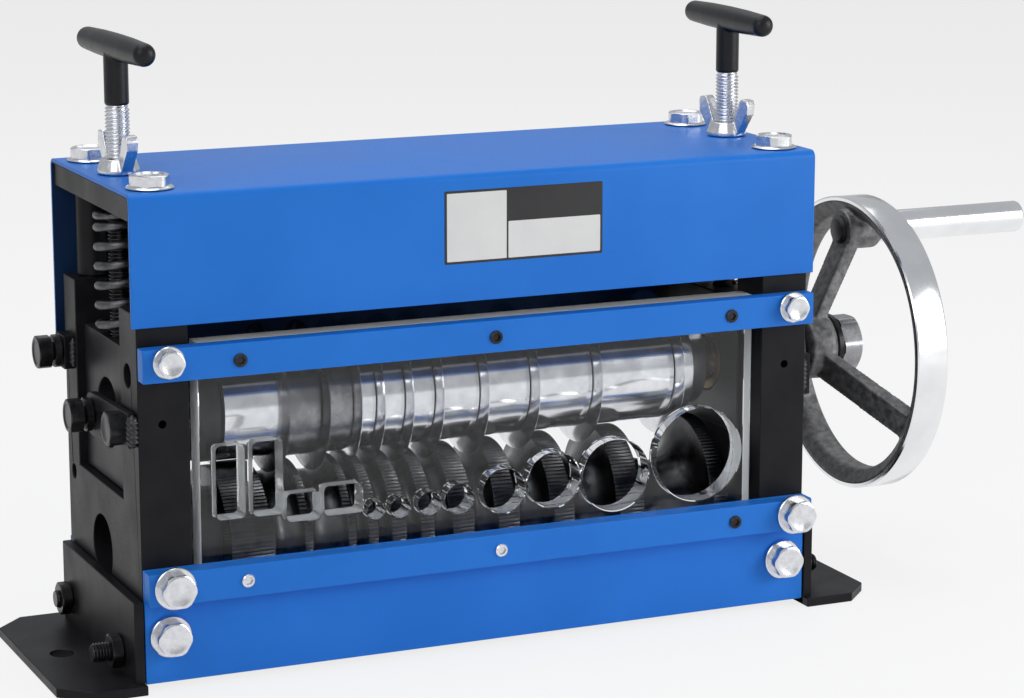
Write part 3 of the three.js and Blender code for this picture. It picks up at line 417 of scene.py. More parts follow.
# A look's colours run from dark to light in blotches, and its roughness from its first value to its
# second. Blotches, grain and waves are that many millimetres wide, and depths are in millimetres.
# Its slot has its own name unless it says another.
SLOTS_END_X = -54
TURNED = dict(slot="roller_steel", blotch=9, grain=0.25, stretch=(9, 1, 1), depth=0.005, metal=1)
GROUND = dict(slot="blade_steel", blotch=8, grain=0.3, stretch=(9, 1, 1), depth=0.002, metal=1)
BLACKENED = dict(dark=(0.012, 0.012, 0.014), light=(0.035, 0.035, 0.038), blotch=6, grain=0.4, depth=0.012)
PRINTED = dict(slot="", blotch=30, grain=0.5, depth=0.002, rough=(0.3, 0.38))
LOOKS = {
    "blue_paint": dict(
        dark=(0.014, 0.188, 0.715), light=(0.02, 0.212, 0.78), blotch=60, grain=0.9, depth=0.006,
        wave=7, wave_depth=0.015, rough=(0.34, 0.46), shine=0.25),
    # The cover's inside skin: a dark copy of the blue paint, painted shade for the deep shadow under the
    # cover.
    "painted_shade_lining": dict(
        slot="blue_paint", dark=(0.005, 0.022, 0.075), light=(0.007, 0.03, 0.095), blotch=40, grain=0.9,
        depth=0.006, rough=(0.4, 0.55), shine=0.2),
    "black_paint": dict(
        dark=(0.005, 0.005, 0.0065), light=(0.011, 0.011, 0.0135), blotch=18, grain=0.5, depth=0.015,
        wave=5, wave_depth=0.02, rough=(0.36, 0.52), shine=0.18),
    "milled_black": dict(
        slot="black_paint", dark=(0.011, 0.011, 0.014), light=(0.024, 0.024, 0.028), blotch=14,
        grain=0.35, stretch=(1, 1, 6), depth=0.012, rough=(0.34, 0.5), shine=0.22),
    "weld": dict(
        slot="black_paint", dark=(0.02, 0.02, 0.022), light=(0.06, 0.058, 0.06), blotch=2, grain=0.4,
        depth=0.05, rough=(0.3, 0.5), metal=0.4),
    "zinc": dict(
        dark=(0.66, 0.67, 0.70), light=(0.80, 0.81, 0.84), blotch=3, grain=0.3, depth=0.01, wave=1.6,
        wave_depth=0.02, rough=(0.18, 0.3), metal=1),
    # A darker copy of the zinc for the lift screws below the cover: painted shade.
    "shade_darkened_zinc": dict(
        slot="zinc", dark=(0.06, 0.06, 0.065), light=(0.13, 0.13, 0.135), blotch=4, grain=0.4, depth=0.01,
        rough=(0.28, 0.42), metal=1),
    "roller_steel": dict(TURNED, dark=(0.25, 0.25, 0.265), light=(0.38, 0.38, 0.40), rough=(0.2, 0.32)),
    # A darker copy of the roller steel for the feed roller: painted shade for its place deep inside the
    # machine.
    "shade_darkened_roller": dict(TURNED, dark=(0.035, 0.035, 0.038), light=(0.08, 0.08, 0.084), rough=(0.24, 0.36)),
    "gear_steel": dict(BLACKENED, slot="roller_steel", rough=(0.3, 0.45), metal=0.8),
    "dark_steel": dict(BLACKENED, slot="black_paint", rough=(0.26, 0.4), metal=0.5),
    "blade_steel": dict(GROUND, dark=(0.70, 0.70, 0.73), light=(0.86, 0.86, 0.88), rough=(0.1, 0.17)),
    "dull_blade": dict(GROUND, dark=(0.16, 0.16, 0.17), light=(0.30, 0.30, 0.31), rough=(0.2, 0.3)),
    "bronze": dict(
        dark=(0.10, 0.06, 0.025), light=(0.18, 0.11, 0.045), blotch=5, grain=0.3, depth=0.008,
        rough=(0.3, 0.45), metal=1),
    "cast_iron": dict(
        dark=(0.12, 0.12, 0.124), light=(0.27, 0.27, 0.275), blotch=3.2, grain=0.7, depth=0.12,
        wave=2.4, wave_depth=0.22, rough=(0.42, 0.62), metal=0.75),
    "chrome": dict(
        dark=(0.80, 0.81, 0.83), light=(0.9, 0.91, 0.93), blotch=25, grain=0.3, stretch=(7, 1, 1),
        depth=0.0012, rough=(0.12, 0.2), metal=1),
    "black_coating": dict(
        dark=(0.006, 0.006, 0.008), light=(0.011, 0.011, 0.014), blotch=9, grain=0.6, depth=0.01,
        wave=4, wave_depth=0.03, rough=(0.32, 0.42), shine=0.28),
    "spring_steel": dict(
        dark=(0.07, 0.07, 0.075), light=(0.15, 0.15, 0.157), blotch=4, grain=0.4, depth=0.01,
        rough=(0.3, 0.45), metal=0.9),
    "label_white": dict(PRINTED, dark=(0.80, 0.80, 0.80), light=(0.86, 0.86, 0.85)),
    "label_black": dict(PRINTED, dark=(0.012, 0.012, 0.014), light=(0.02, 0.02, 0.022)),
    "clear_acrylic": dict(
        light=(0.95, 0.965, 0.97), passed=(0.88, 0.9, 0.91), bending=1.49, edge_from=0.9985,
        edge_clear=0.25, edge_rough=0.5, wall_matt=0.4, glare=(0.5, 0.5, 0.5), maker=clear_acrylic),
}
MATERIALS = {}


def look_material(name):
    if name not in MATERIALS:
        look = {"name": name, **LOOKS[name]}
        MATERIALS[name] = look.get("maker", finished)(look)
    return MATERIALS[name]


# Fasteners, along Z from their seat to their far end
HEX_COUNT = 96
HEX_CORNER = 1.07
M6 = dict(flats=10, head=4, washer_radius=6.5, washer_height=1.4, shank=3)
M8 = dict(flats=13, head=5.6, washer_radius=8.5, washer_height=1.6, shank=4)
M8_PITCH = 1.25
M8_THREAD_DEPTH = 0.7


def hexagon_radius(flats, angle, corner=2.0):
    """Distance from the middle to the side of a hexagon, no more than corner times half its flats."""
    return min(flats / 2 / cos((angle % (TAU / 6)) - TAU / 12), flats / 2 * corner)


def hexagon(flats, low, high, bottom_chamfer=False, dish=0.0):
    """A hexagon with its corners turned off at 30 degrees, and a shallow dish on top."""
    way = 1 if high > low else -1
    turned_radius = flats / 2 * 0.96
    slope = tan(radians(30))

    def corner(end, inward, share):
        def ring(angle):
            radius = hexagon_radius(flats, angle, HEX_CORNER)
            fall = max(0.0, radius - turned_radius) * slope * share
            return radius, end + inward * fall
        return ring

    rings = [corner(low, way, int(bottom_chamfer)), corner(high, -way, 1), (turned_radius, high)]
    if dish:
        rings += [(turned_radius * 0.86, high), (turned_radius * 0.74, high - way * dish)]
    return revolve(rings, HEX_COUNT)


def washer(inner, outer, low, high, edge=0.25):
    way = 1 if high > low else -1
    return revolve([(inner, low), (outer - edge, low), (outer, low + way * edge),
                    (outer, high - way * edge), (outer - edge, high), (inner, high)], 64, closed=True)


def rod(radius, low, high, chamfer=0.0, count=48):
    way = 1 if high > low else -1
    end = [(radius, high - way * chamfer), (radius - chamfer, high)] if chamfer else [(radius, high)]
    return revolve([(radius, low), *end], count)


def threaded(radius, depth, pitch, low, high, count=36, rows_per_turn=7):
    """A rod with a helical thread that runs out at both ends."""
    rows = round(abs(high - low) / pitch * rows_per_turn)
    profile = []
    for row in range(rows + 1):
        height = low + (high - low) * row / rows
        fade = min(1.0, row / rows_per_turn, (rows - row) / rows_per_turn)

        def ring(angle, height=height, fade=fade):
            phase = (height / pitch - angle / TAU) % 1
            groove = max(0.0, abs(2 * phase - 1) * 1.25 - 0.25)
            return radius - depth * (1 - (1 - groove) * fade), height
        profile.append(ring)
    return revolve(profile, count)


# The frame: side plates, bars, panels, cover and top plate
PLATE_EDGE = 0.5
SLOT_HALF_WIDTH = 31
SLOT_BOTTOM_Z = 73
FEED_HOLE_RADIUS = 13.5
TOOLING_HOLE = (-40.6, 125, 4.85)
TAPPED_HOLE = (39.7, 68.3, 3.1)
LEG_HOLE = (137.9, 107.3, 1.7)
LEG_HOLE_DEPTH = 7
STOP_BACK_Y = -16
STOP_Z = (92.5, 110)
LUG_Y = (34, 47)
LUG_Z = (113, 127)


def side_plate(side, word):
    """A plate with an open slot for its slide block. It gives the place of its outer face."""
    low, high = limits(f"side_plate_{word}")
    back = limits("rear_panel")[0].y - FIT_GAP
    outer = limits(f"foot_{word}")[0 if side > 0 else 1].x - side * FIT_GAP
    inner = low.x if side > 0 else high.x
    outline = [(low.y, low.z), (back, low.z), (back, high.z), (SLOT_HALF_WIDTH, high.z),
               (SLOT_HALF_WIDTH, SLOT_BOTTOM_Z), (-SLOT_HALF_WIDTH, SLOT_BOTTOM_Z),
               (-SLOT_HALF_WIDTH, high.z), (low.y, high.z)]
    holes = [circle(FEED_HOLE_RADIUS, 0, FEED_Z)]
    if side < 0:
        holes += [circle(radius, y, z, 32) for y, z, radius in (TOOLING_HOLE, TAPPED_HOLE)]
    sheet = slab(outline, *sorted((inner, outer)), holes)
    piece = dress(f"side_plate_{word}", along("x", sheet), "frame", "black_paint", edge=PLATE_EDGE)
    hole_x, hole_z, hole_radius = LEG_HOLE
    hole = rod(hole_radius, low.y - 1, low.y + LEG_HOLE_DEPTH, count=24)
    cut_away(piece, along("y", hole, (side * hole_x, 0, hole_z)))
    return outer


OUTER_X = {"left": side_plate(-1, "left"), "right": side_plate(1, "right")}
SIDES = ((-1, "left"), (1, "right"))


def weld_bead(name, start, end, radius):
    """A rippled bead between two points, half sunk in the corner that it fills."""
    start = Vector(start)
    way = Vector(end) - start
    steps = round(way.length / 0.35)
    profile = []
    for step in range(steps + 1):
        share = step / steps
        fade = min(1.0, 5 * share + 0.25, 5 * (1 - share) + 0.25)
        ripple = 1 + 0.12 * sin(share * way.length * 3.3)
        profile.append((radius * fade * ripple, share * way.length))
    turn = way.to_track_quat("Z", "Y").to_matrix().to_4x4()
    make(name, moved(revolve(profile, 14), Matrix.Translation(start) @ turn), "frame", "weld", smooth=80)


def welded(name, side, word, y_ends, z_ends, edge, weld_reach, weld_radius):
    """A block on a side plate's outer face, with a weld bead up its front corner."""
    root = OUTER_X[word]
    tip = limits(f"side_plate_{word}")[1 if side > 0 else 0].x
    left, right = sorted((root - side * FIT_GAP, tip))
    front, back = y_ends
    bottom, top = z_ends
    make(f"welded_{name}", box((left, front, bottom), (right, back, top)), "frame", "black_paint",
         [f"side_plate_{word}"], edge=edge)
    weld_x = root + side * weld_reach
    weld_bead(f"{name}_weld", (weld_x, front, bottom + 1), (weld_x, front, top - 1), weld_radius)


welded("stop", 1, "right", (limits("stop_strap")[0].y, STOP_BACK_Y), STOP_Z, 0.5, 0.6, 1.8)
welded("lug", -1, "left", LUG_Y, LUG_Z, 0.6, 0.5, 1.6)

# How wide the soft edges of each bar and panel are
FLAT_EDGES = {"upper_front_bar": 0.5, "lower_front_bar": 0.5, "front_panel": 0.3, "rear_panel": 0.3}
for flat, edge in FLAT_EDGES.items():
    dress(flat, box(*limits(flat)), "frame", "blue_paint", edge=edge)

COVER_SHEET = 1.7
COVER_OUTER_SKIN = 1.5
COVER_BEND = 3.2
FRONT_FLAP_Z = 146.3


def cover_and_top_plate():
    """A sheet, blue outside with painted shade on its inside skin, and the black plate under it."""
    low, high = limits("cover")

    def outline(inset):
        radius = COVER_BEND - inset
        front = low.y + inset
        back = high.y - inset
        top = high.z - inset
        return [(front, FRONT_FLAP_Z), *arc(radius, front + radius, top - radius, 180, 90, 8),
                *arc(radius, back - radius, top - radius, 90, 0, 8), (back, low.z)]

    # The inside skin wears a darkened blue, painted shade for the dark inside of the cover.
    skins = (("cover_outside", 0, COVER_OUTER_SKIN, "blue_paint", 0.35),
             ("cover_inside", COVER_OUTER_SKIN, COVER_SHEET, "painted_shade_lining", 0))
    for name, near, far, look, edge in skins:
        fold = [*outline(near), *reversed(outline(far))]
        make(name, along("x", slab(fold, low.x, high.x)), "frame", look, ["cover"], edge=edge)
    low, high = limits("top_plate")
    inner = rounded_box(low.y, high.y, low.z, high.z, 1.5, 4)
    dress("top_plate", along("x", slab(inner, low.x, high.x)), "frame", "black_paint", edge=0.4)


cover_and_top_plate()

# Clear guide plate: x, z, width and height of each slot, and x, z and diameter of each round channel
SLOT_CHANNELS = [(-110.5, 81, 11.6, 30), (-94.75, 81.2, 12.5, 30.5),
                 (-79.85, 67.9, 14.3, 11.5), (-62.85, 69.1, 16.5, 12.2)]
ROUND_CHANNELS = [(-48.9, 62.9, 7.4), (-38.3, 63, 8.6), (-25.6, 63.3, 9.8), (-12.3, 63.8, 12.5),
                  (7.7, 65.2, 18.8), (30.3, 67.5, 23.5), (58.6, 66.6, 30.5), (97.6, 71.6, 40)]


def guide_plate():
    low, high = limits("guide_plate")

    def loops(step):
        outline = [(low.x + step, low.z + step), (high.x - step, low.z + step),
                   (high.x - step, high.z - step), (low.x + step, high.z - step)]
        slots = [rounded_box(x - wide / 2 - step, x + wide / 2 + step, z - tall / 2 - step,
                             z + tall / 2 + step, 2 + step) for x, z, wide, tall in SLOT_CHANNELS]
        rounds = [circle(diameter / 2 + step, x, z, 96 if diameter > 15 else 48)
                  for x, z, diameter in ROUND_CHANNELS]
        return [outline, *slots, *rounds]

    dress("guide_plate", along("y", plate(loops, low.y, high.y, 0.35)), "frame", "clear_acrylic", smooth=20)


guide_plate()

# Feet
FOOT_THICKNESS = 4
FOOT_CORNER = 12
BENCH_HOLE = (167.4, -4.7, 5.0)


def foot(side, word):
    low, high = limits(f"foot_{word}")
    root, tip = (low.x, high.x) if side > 0 else (high.x, low.x)
    shoulder = tip - side * FOOT_CORNER
    outline = [(root, low.y), (shoulder, low.y), (tip, low.y + FOOT_CORNER),
               (tip, high.y - FOOT_CORNER), (shoulder, high.y), (root, high.y)]
    hole_x, hole_y, hole_radius = BENCH_HOLE
    sole = slab(outline, low.z, FOOT_THICKNESS, [circle(hole_radius, side * hole_x, hole_y)])
    left, right = sorted((root, root + side * FOOT_THICKNESS))
    upright = box((left, low.y + 4, low.z), (right, high.y - 6, high.z))
    dress(f"foot_{word}", together(sole, upright), "frame", "black_paint", edge=0.45)


for side, word in SIDES:
    foot(side, word)


# Fasteners on the front, the top, the sides and the back
def front_bolt(node, flats, head, washer_radius, washer_height, shank):
    """A hex bolt on a washer, its head towards -Y."""
    low, high = limits(node)
    seat = low.y + head + washer_height
    shape = together(washer(shank, washer_radius, seat, seat - washer_height, 0.35),
                     hexagon(flats, seat - washer_height, low.y, dish=0.35),
                     rod(shank, seat - 1, high.y))
    dress(node, through(node, "y", shape), "frame", "zinc")


for side, word in SIDES:
    front_bolt(f"upper_bar_bolt_{word}", **M6)
    front_bolt(f"lower_bar_bolt_{word}", **M8)
    front_bolt(f"panel_bolt_{word}", **M8)

FLANGE_RADIUS = 9.5
FLANGE_FLATS = 15
COLUMN_RADIUS = 6.5


def cover_bolt(node):
    """A flange bolt through its spacer column into the top of a leg."""
    low, high = limits(node)
    seat = limits("cover")[1].z + FIT_GAP
    shank = M8["shank"]
    rim = FLANGE_RADIUS
    flange = revolve([(shank, seat), (rim - 0.3, seat), (rim, seat + 0.3), (rim - 0.3, seat + 0.7),
                      (FLANGE_FLATS / 2, seat + 1.4), (shank, seat + 1.4)], 72, closed=True)
    head = hexagon(FLANGE_FLATS, seat + 0.7, high.z, dish=0.6)
    shape = together(flange, head, rod(shank, low.z, seat + 1))
    dress(node, through(node, "z", shape), "frame", "zinc")
    bottom = limits("side_plate_left")[1].z + FIT_GAP
    column = washer(shank + FIT_GAP, COLUMN_RADIUS, bottom, limits("top_plate")[0].z - FIT_GAP, 0.5)
    make(f"{node}_column", through(node, "z", column), "frame", "black_paint", [node])


for side, word in SIDES:
    cover_bolt(f"cover_bolt_front_{word}")
    cover_bolt(f"cover_bolt_back_{word}")

FOOT_NUT_HEIGHT = 4.5
LOCKNUT_HEIGHT = 3


def foot_bolt(side, word, node):
    """Head inside the machine, nut and bare thread outside."""
    low, high = limits(node)
    inner, end = (low.x, high.x) if side > 0 else (high.x, low.x)
    nut_seat = OUTER_X[word] + side * (FOOT_THICKNESS + 2 * FIT_GAP)
    nut_end = nut_seat + side * FOOT_NUT_HEIGHT
    shape = together(hexagon(M8["flats"], inner + side * M8["head"], inner, dish=0.4),
                     rod(M8["shank"] - 0.1, inner + side * 2, nut_seat),
                     hexagon(M8["flats"], nut_seat, nut_end, bottom_chamfer=True),
                     threaded(M8["shank"], M8_THREAD_DEPTH, M8_PITCH, *sorted((nut_seat, end))))
    dress(node, through(node, "x", shape), "frame", "dark_steel", smooth=28)


for side, word in SIDES:
    foot_bolt(side, word, f"foot_bolt_front_{word}")
    foot_bolt(side, word, f"foot_bolt_back_{word}")


def stop_bolt(node, locknut_seat):
    """A bolt through a strap or lug, with a locknut on its outer side."""
    low, high = limits(node)
    locknut_end = locknut_seat - LOCKNUT_HEIGHT
    shape = together(hexagon(M8["flats"], low.x + M8["head"], low.x, dish=0.4),
                     threaded(M8["shank"], M8_THREAD_DEPTH, M8_PITCH, low.x + 4, high.x - 1),
                     rod(M8["shank"] - 0.8, low.x + 5, high.x),
                     hexagon(M8["flats"], locknut_seat, locknut_end, bottom_chamfer=True))
    dress(node, through(node, "x", shape), "frame", "dark_steel", smooth=28)


STRAP_FRONT_Z = (98.2, 112.2)
STRAP_END_RADIUS = 9
STRAP_THICKNESS = 3
STRAP_BOLT = (-39, 104.2)


def stop_strap():
    """The strap is bolted and welded at its front and holds the thrust bolt at its round end."""
    low, high = limits("stop_strap")
    seat = OUTER_X["left"] - FIT_GAP
    outer = seat - STRAP_THICKNESS
    bottom, top = STRAP_FRONT_Z
    outline = [(low.y, bottom), *arc(STRAP_END_RADIUS, 0, CUTTER_Z, -96, 92, 20), (low.y, top)]
    strap = slab(outline, outer, seat, [circle(M8["shank"] + FIT_GAP, 0, CUTTER_Z, 32)])
    dress("stop_strap", along("x", strap), "frame", "black_paint", edge=0.5)
    bolt = together(hexagon(M8["flats"], outer, low.x, dish=0.4),
                    rod(M8["shank"], outer - 1, high.x))
    make("strap_bolt", along("x", bolt, (0, *STRAP_BOLT)), "frame", "dark_steel", ["stop_strap"])
    weld_x = outer + 1.6
    weld_y = low.y - 0.6
    weld_bead("strap_weld", (weld_x, weld_y, bottom + 0.5), (weld_x, weld_y, top - 0.5), 2.4)
    stop_bolt("thrust_bolt", outer - FIT_GAP)
    stop_bolt("lug_bolt", limits("side_plate_left")[0].x - FIT_GAP)


stop_strap()

# Socket screws of the guide plate: their height in each bar, and each one's x and finish
GUIDE_SCREWS = {
    "upper_front_bar": (131.8, [(-108, "dark_steel"), (0.8, "dark_steel"), (108.3, "dark_steel")]),
    "lower_front_bar": (43, [(-107, "zinc"), (2.3, "zinc"), (110.5, "dark_steel")]),
}
SOCKET_HEAD_RADIUS = 2.7
SOCKET_FLATS = 2.8


def socket_screw(name, x, z, look, face):
    """A cylinder head that stands a little proud, with a hexagon socket in it."""
    radius = SOCKET_HEAD_RADIUS
    front = face - 1.1

    def socket(height, wider=0):
        return lambda angle: (hexagon_radius(SOCKET_FLATS, angle) + wider, height)

    shape = revolve([(2.4, face + 14), (2.4, face + 1), (radius, face + 0.5), (radius, front + 0.4),
                     (radius - 0.4, front), socket(front, 0.15), socket(front + 0.2),
                     socket(front + 0.95)], HEX_COUNT)
    make(name, along("y", shape, (x, 0, z)), "frame", look)


for bar, (z, screws) in GUIDE_SCREWS.items():
    for number, (x, look) in enumerate(screws, 1):
        socket_screw(f"{bar}_screw_{number}", x, z, look, limits(bar)[0].y)

REAR_BOLT_X = 137.3
REAR_BOLT_Z = 22
REAR_WASHER = 1.4


def rear_bolt(side, word):
    seat = limits("rear_panel")[1].y
    head = seat + REAR_WASHER
    shape = together(washer(M6["shank"], 6, seat, head, 0.3),
                     hexagon(M6["flats"], head, head + M6["head"], dish=0.3),
                     rod(M6["shank"], seat - 6, seat + 2))
    place = (side * REAR_BOLT_X, 0, REAR_BOLT_Z)
    make(f"rear_panel_bolt_{word}", along("y", shape, place), "frame", "zinc")


for side, word in SIDES:
    rear_bolt(side, word)


# Slide blocks, bushes, springs and lift screws
SHAFT_RADIUS = 10
JOURNAL_RADIUS = 9
CUTTER_BUSH_RADIUS = 14
FEED_BUSH_RADIUS = 13.2
SCREW_RADIUS = 5
SCREW_PITCH = 1.5
SCREW_THREAD_DEPTH = 0.85


def slide_block(word):
    """A block with a bore for its bush and a socket for its lift screw."""
    node = f"slide_block_{word}"
    screw = f"lift_screw_{word}"
    low, high = limits(node)
    outline = [(low.y, low.z), (high.y, low.z), (high.y, high.z), (low.y, high.z)]
    block = slab(outline, low.x, high.x, [circle(CUTTER_BUSH_RADIUS + FIT_GAP, 0, CUTTER_Z, 64)])
    piece = dress(node, along("x", block), "carriage", "milled_black", edge=0.6)
    socket = rod(SCREW_RADIUS + FIT_GAP, limits(screw)[0].z - 0.5, high.z + 1)
    cut_away(piece, along("z", socket, (centre(screw).x, 0, 0)))


def bush(node, body, inner, outer, mid_z):
    low, high = limits(node)
    dress(node, along("x", washer(inner, outer, low.x, high.x, 0.5), (0, 0, mid_z)), body, "bronze")


for side, word in SIDES:
    slide_block(word)
    bush(f"cutter_bush_{word}", "carriage", SHAFT_RADIUS + FIT_GAP, CUTTER_BUSH_RADIUS, CUTTER_Z)
    bush(f"feed_bush_{word}", "frame", JOURNAL_RADIUS + FIT_GAP, FEED_BUSH_RADIUS, FEED_Z)

SPRING_RADIUS = 11
SPRING_WIRE = 3.8
SPRING_DEAD_CURLS = (0.75, 1.6)
SPRING_LIVE_CURLS = 5.2
SPRING_STEPS = 36
WIRE_SIDES = 12


def lift_spring(word):
    """One wire with closed curls at both ends."""
    node = f"lift_spring_{word}"
    low, high = limits(node)
    x = centre(f"lift_screw_{word}").x
    length = high.z - low.z
    wire = SPRING_WIRE / 2
    coil_radius = SPRING_RADIUS - wire
    first, last = SPRING_DEAD_CURLS
    turns = first + SPRING_LIVE_CURLS + last
    closed_pitch = SPRING_WIRE + 0.1
    open_pitch = (length - SPRING_WIRE - (first + last) * closed_pitch) / SPRING_LIVE_CURLS
    rings = []
    total = round(turns * SPRING_STEPS)
    for step in range(total + 1):
        share = step / total
        turned = share * turns
        live = min(SPRING_LIVE_CURLS, max(0.0, turned - first))
        angle = turned * TAU - pi / 2
        height = low.z + wire + live * open_pitch + (turned - live) * closed_pitch
        outward = Vector((cos(angle), sin(angle), 0))
        thin = min(1.0, 0.5 + 4 * share, 0.5 + 4 * (1 - share))
        ring = []
        for side_step in range(WIRE_SIDES):
            turn = TAU * side_step / WIRE_SIDES
            sideways = outward * (coil_radius + wire * cos(turn))
            ring.append(sideways + Vector((x, 0, height + wire * thin * sin(turn))))
        rings.append(ring)
    piece = dress(node, skin(rings), "frame", "spring_steel")
    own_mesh(piece)


HANDLE_TURN = {"left": -88.4, "right": -93.5}
WING_TURN = {"left": -82, "right": -69}
WING_BASE_HEIGHT = 6
WING_THICKNESS = 5
HANDLE_BAR_RADIUS = 5.5
HANDLE_END_RADIUS = 4.7
HANDLE_BAR_HALF = 38.5
HANDLE_END = 3.5
HANDLE_BAR_Z = limits("t_handle_left")[1].z - HANDLE_BAR_RADIUS
HANDLE_STEM_RADIUS = 4.95
STEM_BOTTOM_Z = limits("t_handle_left")[0].z


def t_handle(word):
    """A dipped black handle: a bar, thickest at its middle, with short round ends on a straight stem."""
    x = centre(f"lift_screw_{word}").x
    half = HANDLE_BAR_HALF
    end = []
    for step in range(9):
        turn = pi / 2 * step / 8
        radius = 0.4 + (HANDLE_END_RADIUS - 0.45) * sin(turn)
        end.append((radius, half - HANDLE_END + HANDLE_END * cos(turn)))
    bar = [(radius, -reach) for radius, reach in end]
    bar += [(HANDLE_BAR_RADIUS - 0.3, -half * 0.45), (HANDLE_BAR_RADIUS - 0.15, 0),
            (HANDLE_BAR_RADIUS - 0.3, half * 0.45)]
    bar += reversed(end)
    turn = Matrix.Rotation(radians(HANDLE_TURN[word]), 4, "Z")
    bar_shape = moved(along("x", revolve(bar, 32)), Matrix.Translation((x, 0, HANDLE_BAR_Z)) @ turn)
    stem = revolve([(HANDLE_STEM_RADIUS - 0.55, STEM_BOTTOM_Z), (HANDLE_STEM_RADIUS, STEM_BOTTOM_Z + 0.7),
                    (HANDLE_STEM_RADIUS, HANDLE_BAR_Z)], 32)
    dress(f"t_handle_{word}", together(bar_shape, along("z", stem, (x, 0, 0))), f"lift_screw_{word}",
          "black_coating", fuse=0.45, relax=2)


def lift_screw(word):
    """The thread is bright above the cover, and below it a darker copy of the zinc is painted shade inside
    the spring.
    """
    node = f"lift_screw_{word}"
    low, high = limits(node)
    place = (centre(node).x, 0, 0)
    middle = limits("cover")[1].z - 1
    below = threaded(SCREW_RADIUS, SCREW_THREAD_DEPTH, SCREW_PITCH, low.z, middle)
    above = together(threaded(SCREW_RADIUS, SCREW_THREAD_DEPTH, SCREW_PITCH, middle, STEM_BOTTOM_Z),
                     rod(3.6, STEM_BOTTOM_Z - 1, high.z))
    make(f"{node}_below", along("z", below, place), node, "shade_darkened_zinc", [node], smooth=50)
    make(f"{node}_above", along("z", above, place), node, "zinc", [node], smooth=50)


def wing_nut(word):
    """A plated wing nut: a low round base and two steep, angular wings."""
    node = f"wing_nut_{word}"
    low, high = limits(node)
    base_top = low.z + WING_BASE_HEIGHT
    base = revolve([(8.6, low.z), (8.6, low.z + 1.6), (7.0, base_top), (5.4, base_top)], 24)
    wings = []
    for way in (-1, 1):
        outline = [(way * 5.2, low.z + 0.8), (way * 8.2, low.z + 1), (way * 13.6, high.z - 6.5),
                   (way * 14, high.z - 2.5), (way * 13.2, high.z - 0.5), (way * 10.4, high.z),
                   (way * 9.2, high.z - 1), (way * 5.6, base_top)]
        wings.append(along("y", slab(outline, -WING_THICKNESS / 2, WING_THICKNESS / 2)))
    turn = Matrix.Rotation(radians(WING_TURN[word]), 4, "Z")
    place = Matrix.Translation((centre(f"lift_screw_{word}").x, 0, 0))
    dress(node, moved(together(base, *wings), place @ turn), node, "zinc", fuse=0.35, relax=2)


for side, word in SIDES:
    lift_spring(word)
    lift_screw(word)
    t_handle(word)
    wing_nut(word)

# The cutter: shaft, gear, blades with their spacers, handwheel, nut and grip
BLADE_CENTRES = [-78.4, -60.8, -47, -36.9, -24.2, -10.8, 9.4, 32.5, 61.5, 100.2]
BLADE_RADIUS = 31
BLADE_HALF = 1.0
BLADE_BEVEL = 3.5
SLEEVE_RADIUS = 24
COLLAR_RADIUS = 19
COLLAR_WIDTH = 9
DULL_SLEEVES = (1, 2)
BORE_RADIUS = SHAFT_RADIUS + FIT_GAP


def blade(index, x):
    """A blade and the sleeve on its right. The first has one on its left too, and the last a collar."""
    node = f"blade_{index}"
    low, high = limits(node)
    left = x - BLADE_HALF
    right = x + BLADE_HALF
    sleeve = SLEEVE_RADIUS
    start = low.x
    if index == 1:
        start = left
        first = [(BORE_RADIUS, low.x), (sleeve - 0.5, low.x), (sleeve, low.x + 0.5), (sleeve, left),
                 (BORE_RADIUS, left)]
        make("blade_1_first_sleeve", on_cutter(revolve(first, 128, closed=True)), "cutter", "blade_steel",
             [node], smooth=25)
    rim = BLADE_RADIUS
    bevel = rim - BLADE_BEVEL
    disc = [(bevel, left), (rim, x - 0.1), (rim, x + 0.1), (bevel, right), (sleeve, right)]
    shoulder = high.x - COLLAR_WIDTH if index == len(BLADE_CENTRES) else high.x
    end = [(sleeve, shoulder - 0.4), (sleeve - 0.4, shoulder)]
    if shoulder < high.x:
        end += [(COLLAR_RADIUS, shoulder), (COLLAR_RADIUS, high.x - 0.5), (COLLAR_RADIUS - 0.5, high.x)]
    shape = revolve([(BORE_RADIUS, start), *disc, *end, (BORE_RADIUS, high.x)], 128, closed=True)
    look = "dull_blade" if index in DULL_SLEEVES else "blade_steel"
    dress(node, on_cutter(shape), "cutter", look, smooth=25)


for number, place_x in enumerate(BLADE_CENTRES, 1):
    blade(number, place_x)

KNURL_TEETH = 116
KNURL_DEPTH = 0.55
RIDGE_RADIUS = 30
ROLLER_RIGHT_X = 123
# Each groove's middle, half width and radius at its floor
GROOVES = [(-78.4, 6.5, 24.2), (-60.8, 7.7, 24.2), (-47, 2.7, 24), (-36.9, 3.1, 24), (-24.2, 3.3, 24),
           (-10.8, 4.2, 24), (8.6, 5.6, 21.5), (31.8, 8, 19), (60, 10.7, 17), (99, 16.8, 12)]


